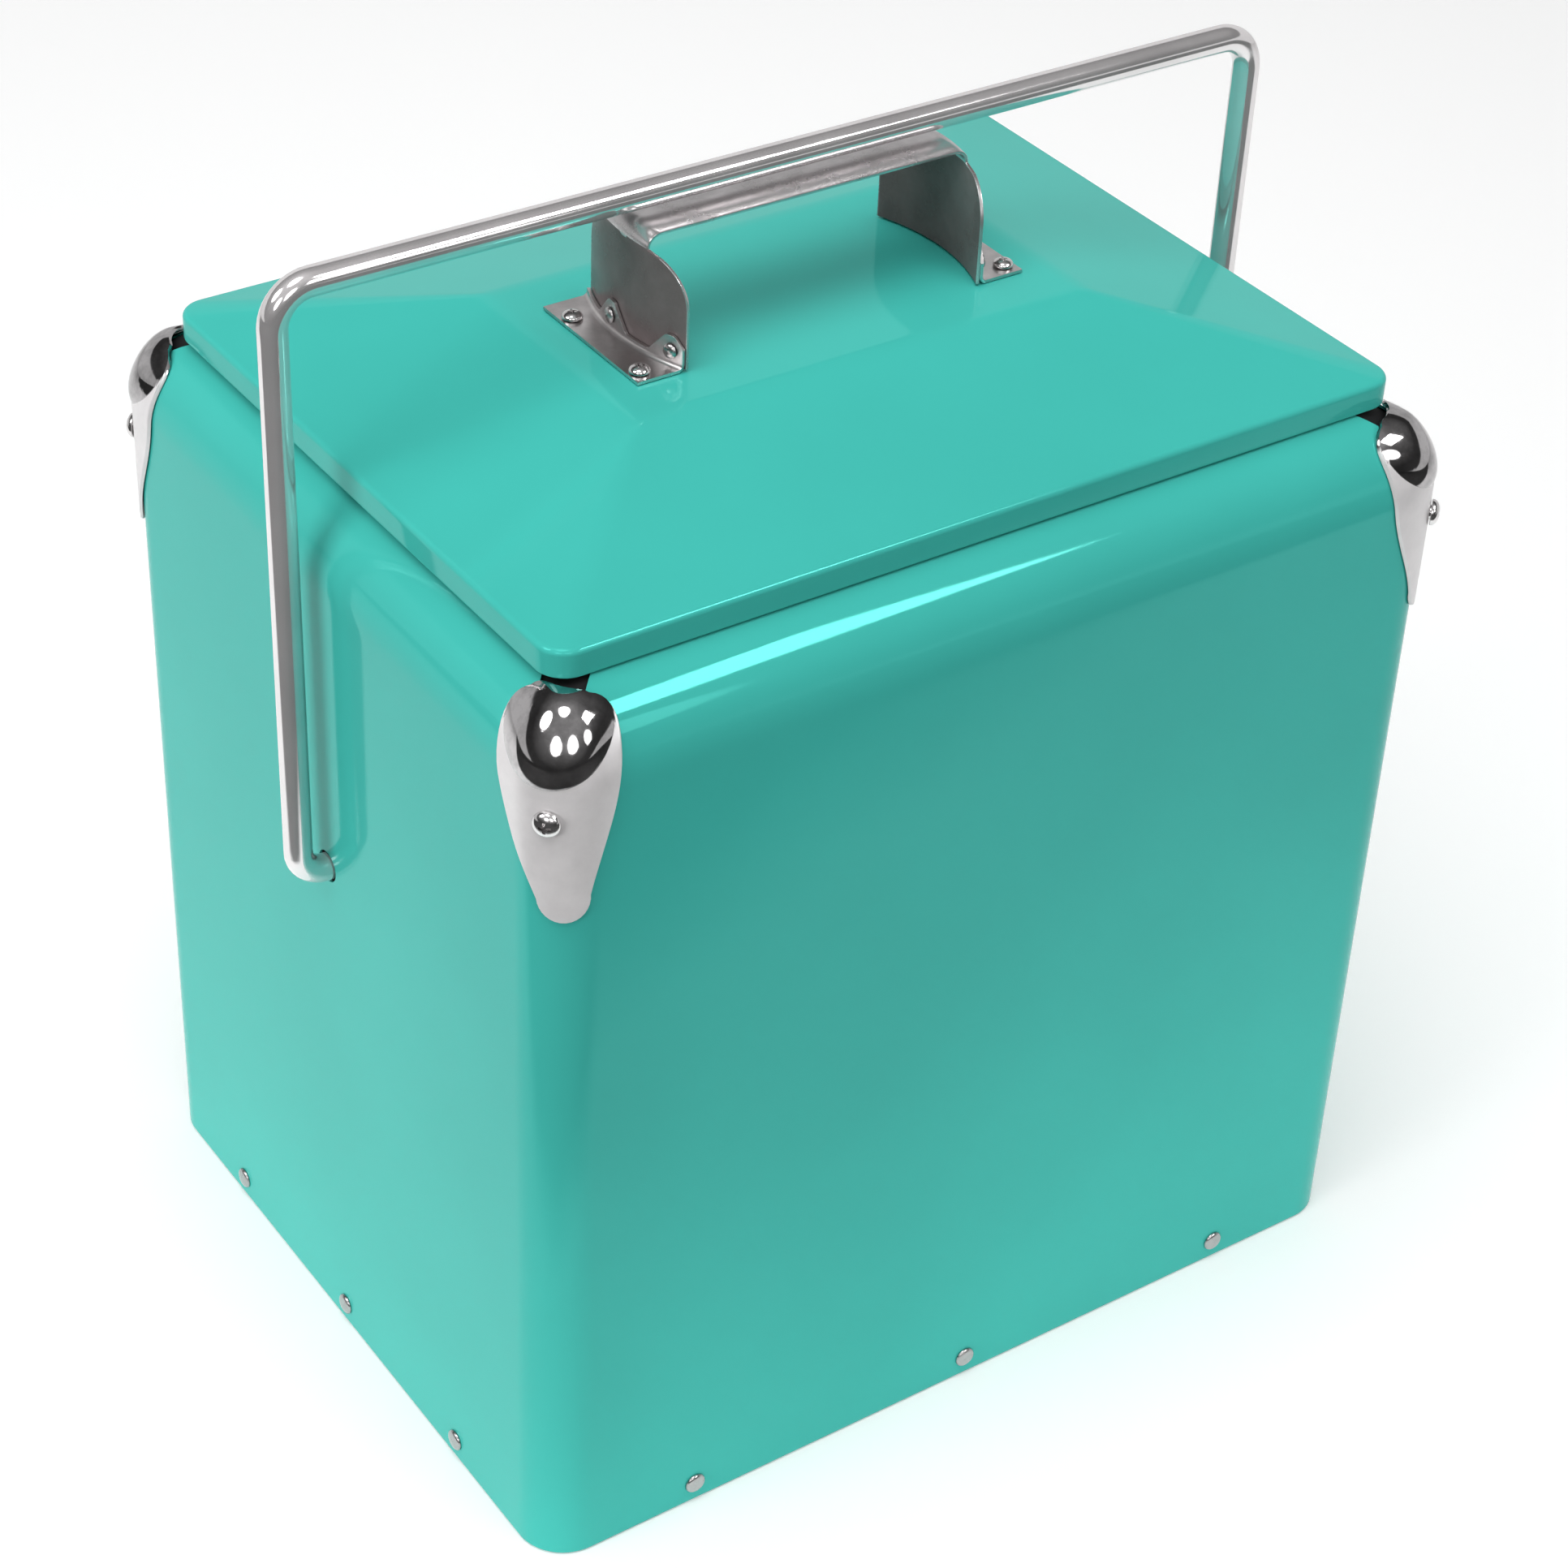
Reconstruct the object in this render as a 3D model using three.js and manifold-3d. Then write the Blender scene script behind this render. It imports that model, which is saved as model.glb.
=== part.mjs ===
// Insulated picnic cooler chest: painted sheet-steel body and lift-off lid, plated corner caps,
// a strap handle on the lid and a bail handle that swings on the two short ends.
// Millimetres, +Z up, +X along the long side, origin at the centre of the base.
import * as THREE from 'three';
import { mergeVertices } from 'three/addons/utils/BufferGeometryUtils.js';
import Module from 'manifold-3d';

const wasm = await Module();
wasm.setup();

// ---- Driving sizes -------------------------------------------------------------------------

const GAP = 0.3; // clearance between neighbouring pieces
const STEEL = 0.8; // painted sheet
const PLATED = 1.0; // plated sheet of the caps and the strap handle
const CAP_GAP = 0.45; // the caps stand a little further off the wrap

const HALF_LENGTH = 160;
const HALF_DEPTH = 128;
const CORNER_RADIUS = 16;
const SHARPEST_CORNER = 7; // plan radius of the corners where the shoulder has turned in
const SHOULDER_START = 290; // height where the walls begin to curve inwards
const SHOULDER_RADIUS = 28;
const SHELL_BOTTOM = 0.6;
const RIM_TOP = 316.4; // top of the body under the lid

const PAN_HEIGHT = 16;
const FLOOR_FOAM_START = 1.4;
const LINER_WALL = 2.2;
const LINER_FLOOR = 24;
const LINER_LIP_TOP = 313.6;
const MOUTH = { halfX: 131, halfY: 99, radius: 20 };
const COLLAR_SKIN = 3;
const COLLAR_BOTTOM = 304;

const LID = { halfX: 148, halfY: 111, radius: 9, bottom: 316.7, crease: 325.7, edgeRadius: 2.2 };
const LID_PANEL = { halfX: 79, halfY: 43.2, radius: 2, top: 342.2 };
const LID_PLUG_BOTTOM = 305.5;
const LID_FLANGE_BOTTOM = 319.2;
const LID_PAN_WALL = 2;

const ROD_RADIUS = 4.4;
const BAIL = { pivotZ: 190, barZ: 387.5, halfSpread: 171.5, topBend: 12, endBend: 9 };
const BAIL_END_DEPTH = 19; // how far the rod ends reach in behind the wall
const BAIL_PLAY = 2; // the bail can slide this far sideways and rests towards +X

const STRAP = { legX: 57, bowRadius: 64, legHalf: 26, gripHalf: 11, gripTop: 381, bend: 5, foot: 342.9 };
const FOOT = { outerX: 68.6, earTop: 353, middleTop: 345.6, earHalf: 8, earTipHalf: 1.5 };
const FOOT_SCREW = { x: 64.9, front: -21.1, back: 15.8 };
const STRAP_RIVET = { front: -21.5, back: 4.5, z: 348.2 }; // each rivet stands in the middle of an ear

const CAP_SCREW_Z = 282.6;
const BASE_RIVET_Z = 8;
const FRONT_RIVET_SPACING = 105.5;
const END_RIVET_SPACING = 72.5;

// ---- Finishes ------------------------------------------------------------------------------

const FINISHES = {
  paint: { color: 0x4bbdb2, roughness: 0.22, metalness: 0 },
  chrome: { color: 0xd4d6d8, roughness: 0.12, metalness: 1 },
  nickel: { color: 0xb9babb, roughness: 0.28, metalness: 1 },
  galvanised: { color: 0x9aa0a3, roughness: 0.5, metalness: 1 },
  blackPlastic: { color: 0x161718, roughness: 0.55, metalness: 0 },
  rubber: { color: 0x1c1d1e, roughness: 0.85, metalness: 0 },
  linerPlastic: { color: 0xe9ecec, roughness: 0.4, metalness: 0 },
  foam: { color: 0xf2ecd4, roughness: 0.95, metalness: 0 },
};

const cooler = new THREE.Group();
const UP = new THREE.Vector3(0, 0, 1);

// ---- Solids and booleans -------------------------------------------------------------------

/** Turns a closed three.js geometry into a manifold solid. */
function solidOf(geometry) {
  const bare = geometry.clone();
  bare.deleteAttribute('normal');
  bare.deleteAttribute('uv');
  const merged = mergeVertices(bare, 1e-4);
  const corners = merged.index.array;
  const kept = [];
  for (let i = 0; i < corners.length; i += 3) {
    const [a, b, c] = corners.subarray(i, i + 3);
    if (a !== b && b !== c && c !== a) kept.push(a, b, c);
  }
  return new wasm.Manifold(new wasm.Mesh({
    numProp: 3,
    vertProperties: merged.attributes.position.array,
    triVerts: Uint32Array.from(kept),
  }));
}

/** Adds one named piece to the cooler. */
function addPiece(name, solid, finish) {
  const result = solid.getMesh();
  const geometry = new THREE.BufferGeometry();
  geometry.setAttribute('position', new THREE.Float32BufferAttribute(result.vertProperties, 3));
  geometry.setIndex(Array.from(result.triVerts));
  geometry.computeVertexNormals();
  const piece = new THREE.Mesh(geometry, new THREE.MeshStandardMaterial(FINISHES[finish]));
  piece.name = name;
  cooler.add(piece);
}

function subtractAll(solid, cutters) {
  return cutters.reduce((rest, cutter) => rest.subtract(cutter), solid);
}

/** Closed geometry through rings of equal length, each running anticlockwise about the way on. */
function loft(rings) {
  const count = rings[0].length;
  const points = rings.flat();
  const indices = [];
  for (let level = 0; level < rings.length - 1; level += 1) {
    for (let i = 0; i < count; i += 1) {
      const a = level * count + i;
      const b = level * count + ((i + 1) % count);
      indices.push(a, b, b + count, a, b + count, a + count);
    }
  }
  const lastStart = points.length - count;
  for (const [start, facesBack] of [[0, true], [lastStart, false]]) {
    const centre = points.length;
    const ring = points.slice(start, start + count);
    points.push(ring.reduce((sum, p) => sum.add(p), new THREE.Vector3()).divideScalar(count));
    for (let i = 0; i < count; i += 1) {
      const here = start + i;
      const next = start + ((i + 1) % count);
      indices.push(centre, facesBack ? next : here, facesBack ? here : next);
    }
  }
  const geometry = new THREE.BufferGeometry().setFromPoints(points);
  geometry.setIndex(indices);
  return geometry;
}

/** Horizontal rounded rectangle as a ring of points. */
function roundedRing(halfX, halfY, radius, z) {
  const cornerSteps = 5;
  const ring = [];
  for (const [quarter, [sideX, sideY]] of [[1, 1], [-1, 1], [-1, -1], [1, -1]].entries()) {
    for (let step = 0; step <= cornerSteps; step += 1) {
      const angle = (quarter + step / cornerSteps) * (Math.PI / 2);
      const x = sideX * (halfX - radius) + radius * Math.cos(angle);
      const y = sideY * (halfY - radius) + radius * Math.sin(angle);
      ring.push(new THREE.Vector3(x, y, z));
    }
  }
  return ring;
}

/** Solid whose outline is the body's, drawn in by an inset that changes with height. */
function bodyBlock(profile) {
  return solidOf(loft(profile.map(([inset, z]) => roundedRing(
    HALF_LENGTH - inset,
    HALF_DEPTH - inset,
    Math.max(CORNER_RADIUS - inset, SHARPEST_CORNER),
    z,
  ))));
}

/** Shoulder curve, `depth` in from the skin, up to height `top`, as [inset, z] pairs. */
function shoulderProfile(depth, top) {
  const reach = SHOULDER_RADIUS - depth;
  const end = Math.asin(Math.min((top - SHOULDER_START) / reach, 1));
  const steps = 6;
  return Array.from({ length: steps + 1 }, (_, step) => {
    const lean = (end * step) / steps;
    return [SHOULDER_RADIUS - reach * Math.cos(lean), SHOULDER_START + reach * Math.sin(lean)];
  });
}

/** Upright prism with a rounded rectangular outline. */
function prism(halfX, halfY, radius, bottom, top) {
  return solidOf(loft([roundedRing(halfX, halfY, radius, bottom), roundedRing(halfX, halfY, radius, top)]));
}

/** Turns a geometry made about +Y so that it points along `direction` from `origin`. */
function aimed(geometry, origin, direction) {
  const turn = new THREE.Quaternion().setFromUnitVectors(new THREE.Vector3(0, 1, 0), direction);
  return geometry.applyQuaternion(turn).translate(origin.x, origin.y, origin.z);
}

/** Round pin running from `from` to `to` along `direction`, both measured from `origin`. */
function pin(radius, origin, direction, from, to, sides = 12) {
  const geometry = new THREE.CylinderGeometry(radius, radius, to - from, sides);
  geometry.translate(0, (from + to) / 2, 0);
  return solidOf(aimed(geometry, origin, direction));
}

/** Turned piece from [radius, height] pairs, its axis along `direction` through `origin`. */
function turned(profile, origin, direction, sides = 14) {
  const outline = profile.map(([radius, height]) => new THREE.Vector2(radius, height));
  return solidOf(aimed(new THREE.LatheGeometry(outline, sides), origin, direction));
}

/** Closed sheet of even thickness over a grid of points; rows and columns give its two sides. */
function sheet(surfacePoint, rows, columns, thickness) {
  const step = 1e-3;
  const sides = [1, -1].map((side) => {
    const grid = [];
    for (let row = 0; row <= rows; row += 1) {
      for (let column = 0; column <= columns; column += 1) {
        const u = row / rows;
        const v = column / columns;
        const alongU = surfacePoint(Math.min(u + step, 1), v).sub(surfacePoint(Math.max(u - step, 0), v));
        const alongV = surfacePoint(u, Math.min(v + step, 1)).sub(surfacePoint(u, Math.max(v - step, 0)));
        const normal = alongU.cross(alongV).normalize();
        grid.push(surfacePoint(u, v).addScaledVector(normal, (side * thickness) / 2));
      }
    }
    return grid;
  });
  const width = columns + 1;
  const other = sides[0].length;
  const indices = [];
  const quad = (a, b, c, d) => indices.push(a, b, c, a, c, d);
  for (let row = 0; row < rows; row += 1) {
    for (let column = 0; column < columns; column += 1) {
      const a = row * width + column;
      quad(a, a + width, a + width + 1, a + 1);
      quad(other + a, other + a + 1, other + a + width + 1, other + a + width);
    }
    const first = row * width;
    const last = first + columns;
    quad(first, other + first, other + first + width, first + width);
    quad(last, last + width, other + last + width, other + last);
  }
  for (let column = 0; column < columns; column += 1) {
    const end = rows * width + column;
    quad(column, column + 1, other + column + 1, other + column);
    quad(end, other + end, other + end + 1, end + 1);
  }
  const geometry = new THREE.BufferGeometry().setFromPoints(sides.flat());
  geometry.setIndex(indices);
  return solidOf(geometry);
}

// ---- Where the repeated pieces sit ---------------------------------------------------------

/** How far a hand-fitted cap and its screw are off their true place: degrees and millimetres. */
const TRUE_FIT = { tilt: 0, across: 0, up: 0, screwAcross: 0, screwUp: 0 };
const TILTED_FIT = { ...TRUE_FIT, tilt: 6, across: -2, screwAcross: -1, screwUp: 1 };
const LOW_FIT = { ...TRUE_FIT, up: -3, screwUp: -3 };

const CORNERS = [
  { name: 'front_left', sideX: -1, sideY: -1, quarter: 2, fit: TILTED_FIT },
  { name: 'front_right', sideX: 1, sideY: -1, quarter: 3, fit: TRUE_FIT },
  { name: 'back_left', sideX: -1, sideY: 1, quarter: 1, fit: LOW_FIT },
  { name: 'back_right', sideX: 1, sideY: 1, quarter: 0, fit: TRUE_FIT },
].map((corner) => {
  const { sideX, sideY, fit } = corner;
  const centre = new THREE.Vector3(
    sideX * (HALF_LENGTH - CORNER_RADIUS),
    sideY * (HALF_DEPTH - CORNER_RADIUS),
    0,
  );
  const outward = new THREE.Vector3(sideX, sideY, 0).normalize();
  const screwWay = outward.clone().applyAxisAngle(UP, fit.screwAcross / CORNER_RADIUS);
  const screwPoint = centre.clone().addScaledVector(screwWay, CORNER_RADIUS).setZ(CAP_SCREW_Z + fit.screwUp);
  return { ...corner, centre, outward, screwWay, screwPoint };
});

const ENDS = [
  { name: 'left', side: -1 },
  { name: 'right', side: 1 },
].map((end) => ({
  ...end,
  pivot: new THREE.Vector3(end.side * HALF_LENGTH, 0, BAIL.pivotZ),
  inward: new THREE.Vector3(-end.side, 0, 0),
}));

const BASE_RIVETS = ['front', 'back', 'left', 'right'].flatMap((wall) => [-1, 0, 1].map((place) => {
  const across = wall === 'front' || wall === 'back';
  const side = wall === 'back' || wall === 'right' ? 1 : -1;
  return {
    name: `base_rivet_${wall}_${place + 2}`,
    point: across
      ? new THREE.Vector3(place * FRONT_RIVET_SPACING, side * HALF_DEPTH, BASE_RIVET_Z)
      : new THREE.Vector3(side * HALF_LENGTH, place * END_RIVET_SPACING, BASE_RIVET_Z),
    outward: across ? new THREE.Vector3(0, side, 0) : new THREE.Vector3(side, 0, 0),
  };
}));

// ---- Body ----------------------------------------------------------------------------------

const RIVET = { shank: 1.6, hole: 1.9, head: 3.5, rise: 1.7, tail: 2.6 };
const CAP_SCREW = { shank: 2.3, hole: 2.6, head: 4.1, rise: 2.8, length: 15, capOffset: 1.75 };
const SLEEVE = { hole: 5.2, flange: 13, tube: 7.5, bore: 4.8, flangeEnd: 3.1, tubeEnd: 13 };

/** Painted wrap with its inturned shoulder; each corner is relieved under its cap. */
function outerShell() {
  const outside = bodyBlock([[0, SHELL_BOTTOM], ...shoulderProfile(0, RIM_TOP)]);
  const inside = bodyBlock([[STEEL, -1], ...shoulderProfile(STEEL, SHOULDER_START + SHOULDER_RADIUS)]);
  const relief = { width: 13, reach: 21, height: 14, centreOut: -2, bottom: 308 };
  const cuts = CORNERS.map((corner) => {
    const box = new THREE.BoxGeometry(relief.reach, relief.width, relief.height);
    box.rotateZ(Math.atan2(corner.sideY, corner.sideX));
    const sideways = UP.clone().cross(corner.outward);
    const middle = corner.centre.clone()
      .addScaledVector(corner.outward, relief.centreOut)
      .addScaledVector(sideways, corner.fit.across);
    box.translate(middle.x, middle.y, relief.bottom + relief.height / 2);
    return solidOf(box);
  });
  cuts.push(...CORNERS.map(({ screwPoint, screwWay }) => pin(CAP_SCREW.hole, screwPoint, screwWay, -4, 4)));
  cuts.push(...BASE_RIVETS.map((rivet) => pin(RIVET.hole, rivet.point, rivet.outward, -3, 1, 8)));
  cuts.push(...ENDS.map((end) => pin(SLEEVE.hole, end.pivot, end.inward, -1, 3)));
  return subtractAll(outside.subtract(inside), cuts);
}

/** Folded tray that closes the bottom; its flange stands inside the wrap. */
function bottomPan() {
  const inset = STEEL + GAP;
  const innerInset = inset + STEEL;
  const fold = 2; // radius of the lower edge
  const outside = bodyBlock([
    [inset + fold, 0],
    [inset + fold * 0.3, fold * 0.3],
    [inset, fold],
    [inset, PAN_HEIGHT],
  ]);
  const inside = bodyBlock([
    [innerInset + fold, STEEL],
    [innerInset, STEEL + fold],
    [innerInset, PAN_HEIGHT + 1],
  ]);
  const holes = BASE_RIVETS.map((rivet) => pin(RIVET.hole, rivet.point, rivet.outward, -4, 1, 8));
  return subtractAll(outside.subtract(inside), holes);
}

/** Tapered block of the liner's outside, grown by `extra` and running up to `top`. */
function linerBlock(extra, bottom, top) {
  const draft = 4;
  const clearance = 0.6;
  const halfX = MOUTH.halfX - clearance + extra;
  const halfY = MOUTH.halfY - clearance + extra;
  return solidOf(loft([
    roundedRing(halfX - draft, halfY - draft, MOUTH.radius + extra, bottom),
    roundedRing(halfX, halfY, MOUTH.radius + extra, top),
  ]));
}

/** Moulded tub with a lip that is held down by the collar. */
function linerTub() {
  const lipWidth = 3;
  const lip = prism(
    MOUTH.halfX + lipWidth,
    MOUTH.halfY + lipWidth,
    MOUTH.radius,
    LINER_LIP_TOP - LINER_WALL,
    LINER_LIP_TOP,
  );
  const outside = linerBlock(0, LINER_FLOOR, LINER_LIP_TOP).add(lip);
  return outside.subtract(linerBlock(-LINER_WALL, LINER_FLOOR + LINER_WALL, LINER_LIP_TOP + 1));
}

/** Foam between the wrap and the tub, with pockets for the fixings. */
function bodyInsulation() {
  const footInset = 4;
  const footTop = PAN_HEIGHT + 4;
  const skinInset = STEEL + GAP;
  const foamTop = LINER_LIP_TOP - LINER_WALL - GAP;
  const main = bodyBlock([
    [footInset, FLOOR_FOAM_START],
    [footInset, footTop],
    ...shoulderProfile(skinInset, COLLAR_BOTTOM - GAP),
  ]);
  const crown = bodyBlock([
    [skinInset + COLLAR_SKIN + GAP, footTop],
    ...shoulderProfile(skinInset + COLLAR_SKIN + GAP, foamTop),
  ]);
  const pocket = { radius: 14.5, depth: 22 };
  const cuts = [linerBlock(GAP, LINER_FLOOR - GAP, foamTop + 1)];
  cuts.push(...ENDS.map((end) => pin(pocket.radius, end.pivot, end.inward, 0, pocket.depth)));
  cuts.push(...CORNERS.map(({ screwPoint, screwWay }) => (
    pin(CAP_SCREW.shank + 2 * GAP, screwPoint, screwWay, -CAP_SCREW.length - 1, 1)
  )));
  return subtractAll(main.add(crown), cuts);
}

/** Black moulding behind the shoulder; it frames the mouth and carries the lid. */
function rimCollar() {
  const skinInset = STEEL + GAP;
  const belowCollar = COLLAR_BOTTOM - 1;
  const outside = bodyBlock(shoulderProfile(skinInset, RIM_TOP));
  const inside = bodyBlock([
    [skinInset + COLLAR_SKIN, SHOULDER_START - 1],
    ...shoulderProfile(skinInset + COLLAR_SKIN, SHOULDER_START + SHOULDER_RADIUS),
  ]);
  const lowerPart = prism(HALF_LENGTH, HALF_DEPTH, CORNER_RADIUS, SHOULDER_START - 2, belowCollar + 1);
  const mouth = prism(MOUTH.halfX, MOUTH.halfY, MOUTH.radius, belowCollar, RIM_TOP + 1);
  return subtractAll(outside, [inside, lowerPart, mouth]);
}

/** Domed rivet: round head outside, shank through wrap and pan, small tail inside. */
function baseRivet({ point, outward }) {
  const tailStart = -(2 * STEEL + 2 * GAP);
  return turned([
    [0, tailStart - 1],
    [RIVET.tail, tailStart - 1],
    [RIVET.tail, tailStart - GAP / 2],
    [RIVET.shank, tailStart - GAP / 2],
    [RIVET.shank, GAP / 2],
    [RIVET.head, GAP / 2],
    [RIVET.head * 0.96, RIVET.rise * 0.4],
    [RIVET.head * 0.72, RIVET.rise * 0.78],
    [RIVET.head * 0.36, RIVET.rise * 0.96],
    [0, RIVET.rise],
  ], point, outward, 10);
}

/** Pan-head screw with a cross recess; `seat` is the height of the head's underside. */
function crossScrew(size, seat, origin, direction) {
  const top = seat + size.rise;
  const body = turned([
    [0, -size.length],
    [size.shank * 0.5, -size.length],
    [size.shank, -size.length + size.shank],
    [size.shank, seat],
    [size.head, seat],
    [size.head, seat + size.rise * 0.45],
    [size.head * 0.82, seat + size.rise * 0.8],
    [size.head * 0.45, seat + size.rise * 0.97],
    [0, top],
  ], origin, direction);
  const arms = [0, Math.PI / 2].map((angle) => {
    const slot = new THREE.BoxGeometry(size.head * 1.15, size.rise, size.head * 0.28);
    slot.rotateY(angle).translate(0, top, 0);
    return solidOf(aimed(slot, origin, direction));
  });
  return subtractAll(body, arms);
}

/** Plastic bearing for one end of the bail, flanged behind the wall. */
function pivotSleeve({ pivot, inward }) {
  const start = STEEL + GAP;
  const body = turned([
    [0, start],
    [SLEEVE.flange, start],
    [SLEEVE.flange, SLEEVE.flangeEnd],
    [SLEEVE.tube, SLEEVE.flangeEnd],
    [SLEEVE.tube, SLEEVE.tubeEnd],
    [0, SLEEVE.tubeEnd],
  ], pivot, inward);
  return body.subtract(pin(SLEEVE.bore, pivot, inward, 0, SLEEVE.tubeEnd + 1));
}

// ---- Corner caps ---------------------------------------------------------------------------

/**
 * Point on the body's skin near one corner, relative to the corner's own upright axis.
 * `across` runs round the corner from its middle line, `along` runs up the skin from the
 * start of the shoulder, and `offset` stands out from the skin.
 */
function cornerSkinPoint(across, along, offset) {
  const lean = Math.max(along, 0) / SHOULDER_RADIUS;
  const reach = SHOULDER_RADIUS + offset;
  const inset = SHOULDER_RADIUS - reach * Math.cos(lean);
  const radius = Math.max(CORNER_RADIUS - inset, SHARPEST_CORNER);
  const turn = THREE.MathUtils.clamp(across / radius, -Math.PI / 4, Math.PI / 4);
  const straight = across - turn * radius;
  const angle = Math.PI / 4 + turn;
  const middle = CORNER_RADIUS - inset - radius;
  return new THREE.Vector3(
    middle + radius * Math.cos(angle) - straight * Math.sin(angle),
    middle + radius * Math.sin(angle) + straight * Math.cos(angle),
    SHOULDER_START + Math.min(along, 0) + reach * Math.sin(lean),
  );
}

const DOME = { along: 17, halfWidth: 18.8, halfHeight: 13.4, rise: 1.7 };

/** Teardrop outline of a cap: x round the corner, y up the skin. */
function capOutline() {
  const top = { half: 10, along: 27, middle: 29.8 };
  const wide = { half: 20.8, along: 8 };
  const tip = { radius: 7.6, along: -32.6 };
  const half = new THREE.Path();
  half.moveTo(0, top.middle);
  half.quadraticCurveTo(-top.half * 0.65, top.middle, -top.half, top.along);
  half.bezierCurveTo(
    -wide.half * 0.86, top.along - 3,
    -wide.half, wide.along + 10,
    -wide.half, wide.along,
  );
  half.bezierCurveTo(-wide.half, -5, -tip.radius - 4, -20, -tip.radius, tip.along);
  half.absarc(0, tip.along, tip.radius, Math.PI, 1.5 * Math.PI, false);
  const left = half.getPoints(4);
  const right = left.slice(1, -1).map(({ x, y }) => new THREE.Vector2(-x, y));
  return [...left, ...right.reverse()];
}

/** 0 in the middle of the stamped dome and 1 at its foot. */
const domeSpread = ({ x, y }) => Math.hypot(x / DOME.halfWidth, (y - DOME.along) / DOME.halfHeight);

/** How far the dome stands above the cap's flat border: a broad crown with a crease at its foot. */
const domeRise = (spot) => DOME.rise * Math.max(1 - domeSpread(spot) ** 4, 0);

/** Where rings cross the way from the dome's middle to a point of the outline, as shares. */
function ringShares(edge) {
  const foot = Math.min(1 / domeSpread(edge), 0.94);
  const onDome = [0.4, 0.72, 0.92, 1].map((share) => share * foot);
  const onBorder = [1 / 3, 2 / 3, 1].map((share) => foot + share * (1 - foot));
  return [...onDome, ...onBorder];
}

/** Stamped cap over one top corner, built about the corner's axis and then moved to it. */
function cornerCap(corner) {
  const { centre, quarter, fit, screwPoint, screwWay } = corner;
  const outline = capOutline();
  const middle = new THREE.Vector2(0, DOME.along);
  const tilt = THREE.MathUtils.degToRad(fit.tilt);
  const shares = outline.map(ringShares);
  const ringCount = shares[0].length;
  const skinPoint = (spot, offset) => {
    const placed = spot.clone().rotateAround(middle, tilt);
    return cornerSkinPoint(placed.x + fit.across, placed.y + fit.up, offset + domeRise(spot));
  };
  const surfaces = [PLATED + CAP_GAP, CAP_GAP].map((offset) => {
    const rings = [skinPoint(middle, offset)];
    for (let ring = 0; ring < ringCount; ring += 1) {
      const spots = outline.map((edge, i) => middle.clone().lerp(edge, shares[i][ring]));
      rings.push(...spots.map((spot) => skinPoint(spot, offset)));
    }
    return rings;
  });
  const count = outline.length;
  const other = surfaces[0].length;
  const indices = [];
  const quad = (a, b, c, d) => indices.push(a, b, c, a, c, d);
  for (let i = 0; i < count; i += 1) {
    const next = (i + 1) % count;
    indices.push(0, 1 + i, 1 + next, other, other + 1 + next, other + 1 + i);
    for (let ring = 1; ring < ringCount; ring += 1) {
      const a = 1 + (ring - 1) * count + i;
      const b = 1 + (ring - 1) * count + next;
      quad(a, a + count, b + count, b);
      quad(other + a, other + b, other + b + count, other + a + count);
    }
    const a = 1 + (ringCount - 1) * count + i;
    const b = 1 + (ringCount - 1) * count + next;
    quad(a, other + a, other + b, b);
  }
  const geometry = new THREE.BufferGeometry().setFromPoints(surfaces.flat());
  geometry.setIndex(indices);
  geometry.rotateZ((quarter * Math.PI) / 2).translate(centre.x, centre.y, 0);
  return solidOf(geometry).subtract(pin(CAP_SCREW.hole, screwPoint, screwWay, -4, 8));
}

// ---- Bail ----------------------------------------------------------------------------------

/** One bent rod: in through the left wall, up, across over the lid and down to the right wall. */
function bailHandle() {
  const { pivotZ, barZ, halfSpread, topBend, endBend } = BAIL;
  const left = BAIL_PLAY - halfSpread;
  const right = BAIL_PLAY + halfSpread;
  const innerEnd = HALF_LENGTH - BAIL_END_DEPTH;
  const path = new THREE.Path();
  path.moveTo(BAIL_PLAY - innerEnd, pivotZ);
  path.lineTo(left + endBend, pivotZ);
  path.absarc(left + endBend, pivotZ + endBend, endBend, -Math.PI / 2, -Math.PI, true);
  path.lineTo(left, barZ - topBend);
  path.absarc(left + topBend, barZ - topBend, topBend, Math.PI, Math.PI / 2, true);
  path.lineTo(right - topBend, barZ);
  path.absarc(right - topBend, barZ - topBend, topBend, Math.PI / 2, 0, true);
  path.lineTo(right, pivotZ + endBend);
  path.absarc(right - endBend, pivotZ + endBend, endBend, 0, -Math.PI / 2, true);
  path.lineTo(BAIL_PLAY + innerEnd, pivotZ);
  const points = path.getPoints(3);
  const sides = 14;
  const depthAxis = new THREE.Vector3(0, 1, 0);
  return solidOf(loft(points.map((point, index) => {
    const before = points[Math.max(index - 1, 0)];
    const after = points[Math.min(index + 1, points.length - 1)];
    const arriving = point.clone().sub(before).normalize();
    const leaving = after.clone().sub(point).normalize();
    const way = arriving.add(leaving).normalize();
    const sideways = depthAxis.clone().cross(new THREE.Vector3(way.x, 0, way.y));
    const centre = new THREE.Vector3(point.x, 0, point.y);
    return Array.from({ length: sides }, (_, side) => {
      const angle = (side / sides) * 2 * Math.PI;
      return centre.clone()
        .addScaledVector(sideways, ROD_RADIUS * Math.cos(angle))
        .addScaledVector(depthAxis, ROD_RADIUS * Math.sin(angle));
    });
  })));
}

/** Push-on steel washer that keeps a rod end behind its sleeve; it shifts with the rod. */
function bailRetainer({ side, pivot, inward }) {
  const thickness = 1.6;
  const rim = 8;
  const start = SLEEVE.tubeEnd + 0.4 + BAIL_PLAY - side * BAIL_PLAY;
  return pin(rim, pivot, inward, start, start + thickness)
    .subtract(pin(ROD_RADIUS + GAP, pivot, inward, start - 1, start + thickness + 1));
}

// ---- Lid -----------------------------------------------------------------------------------

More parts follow.
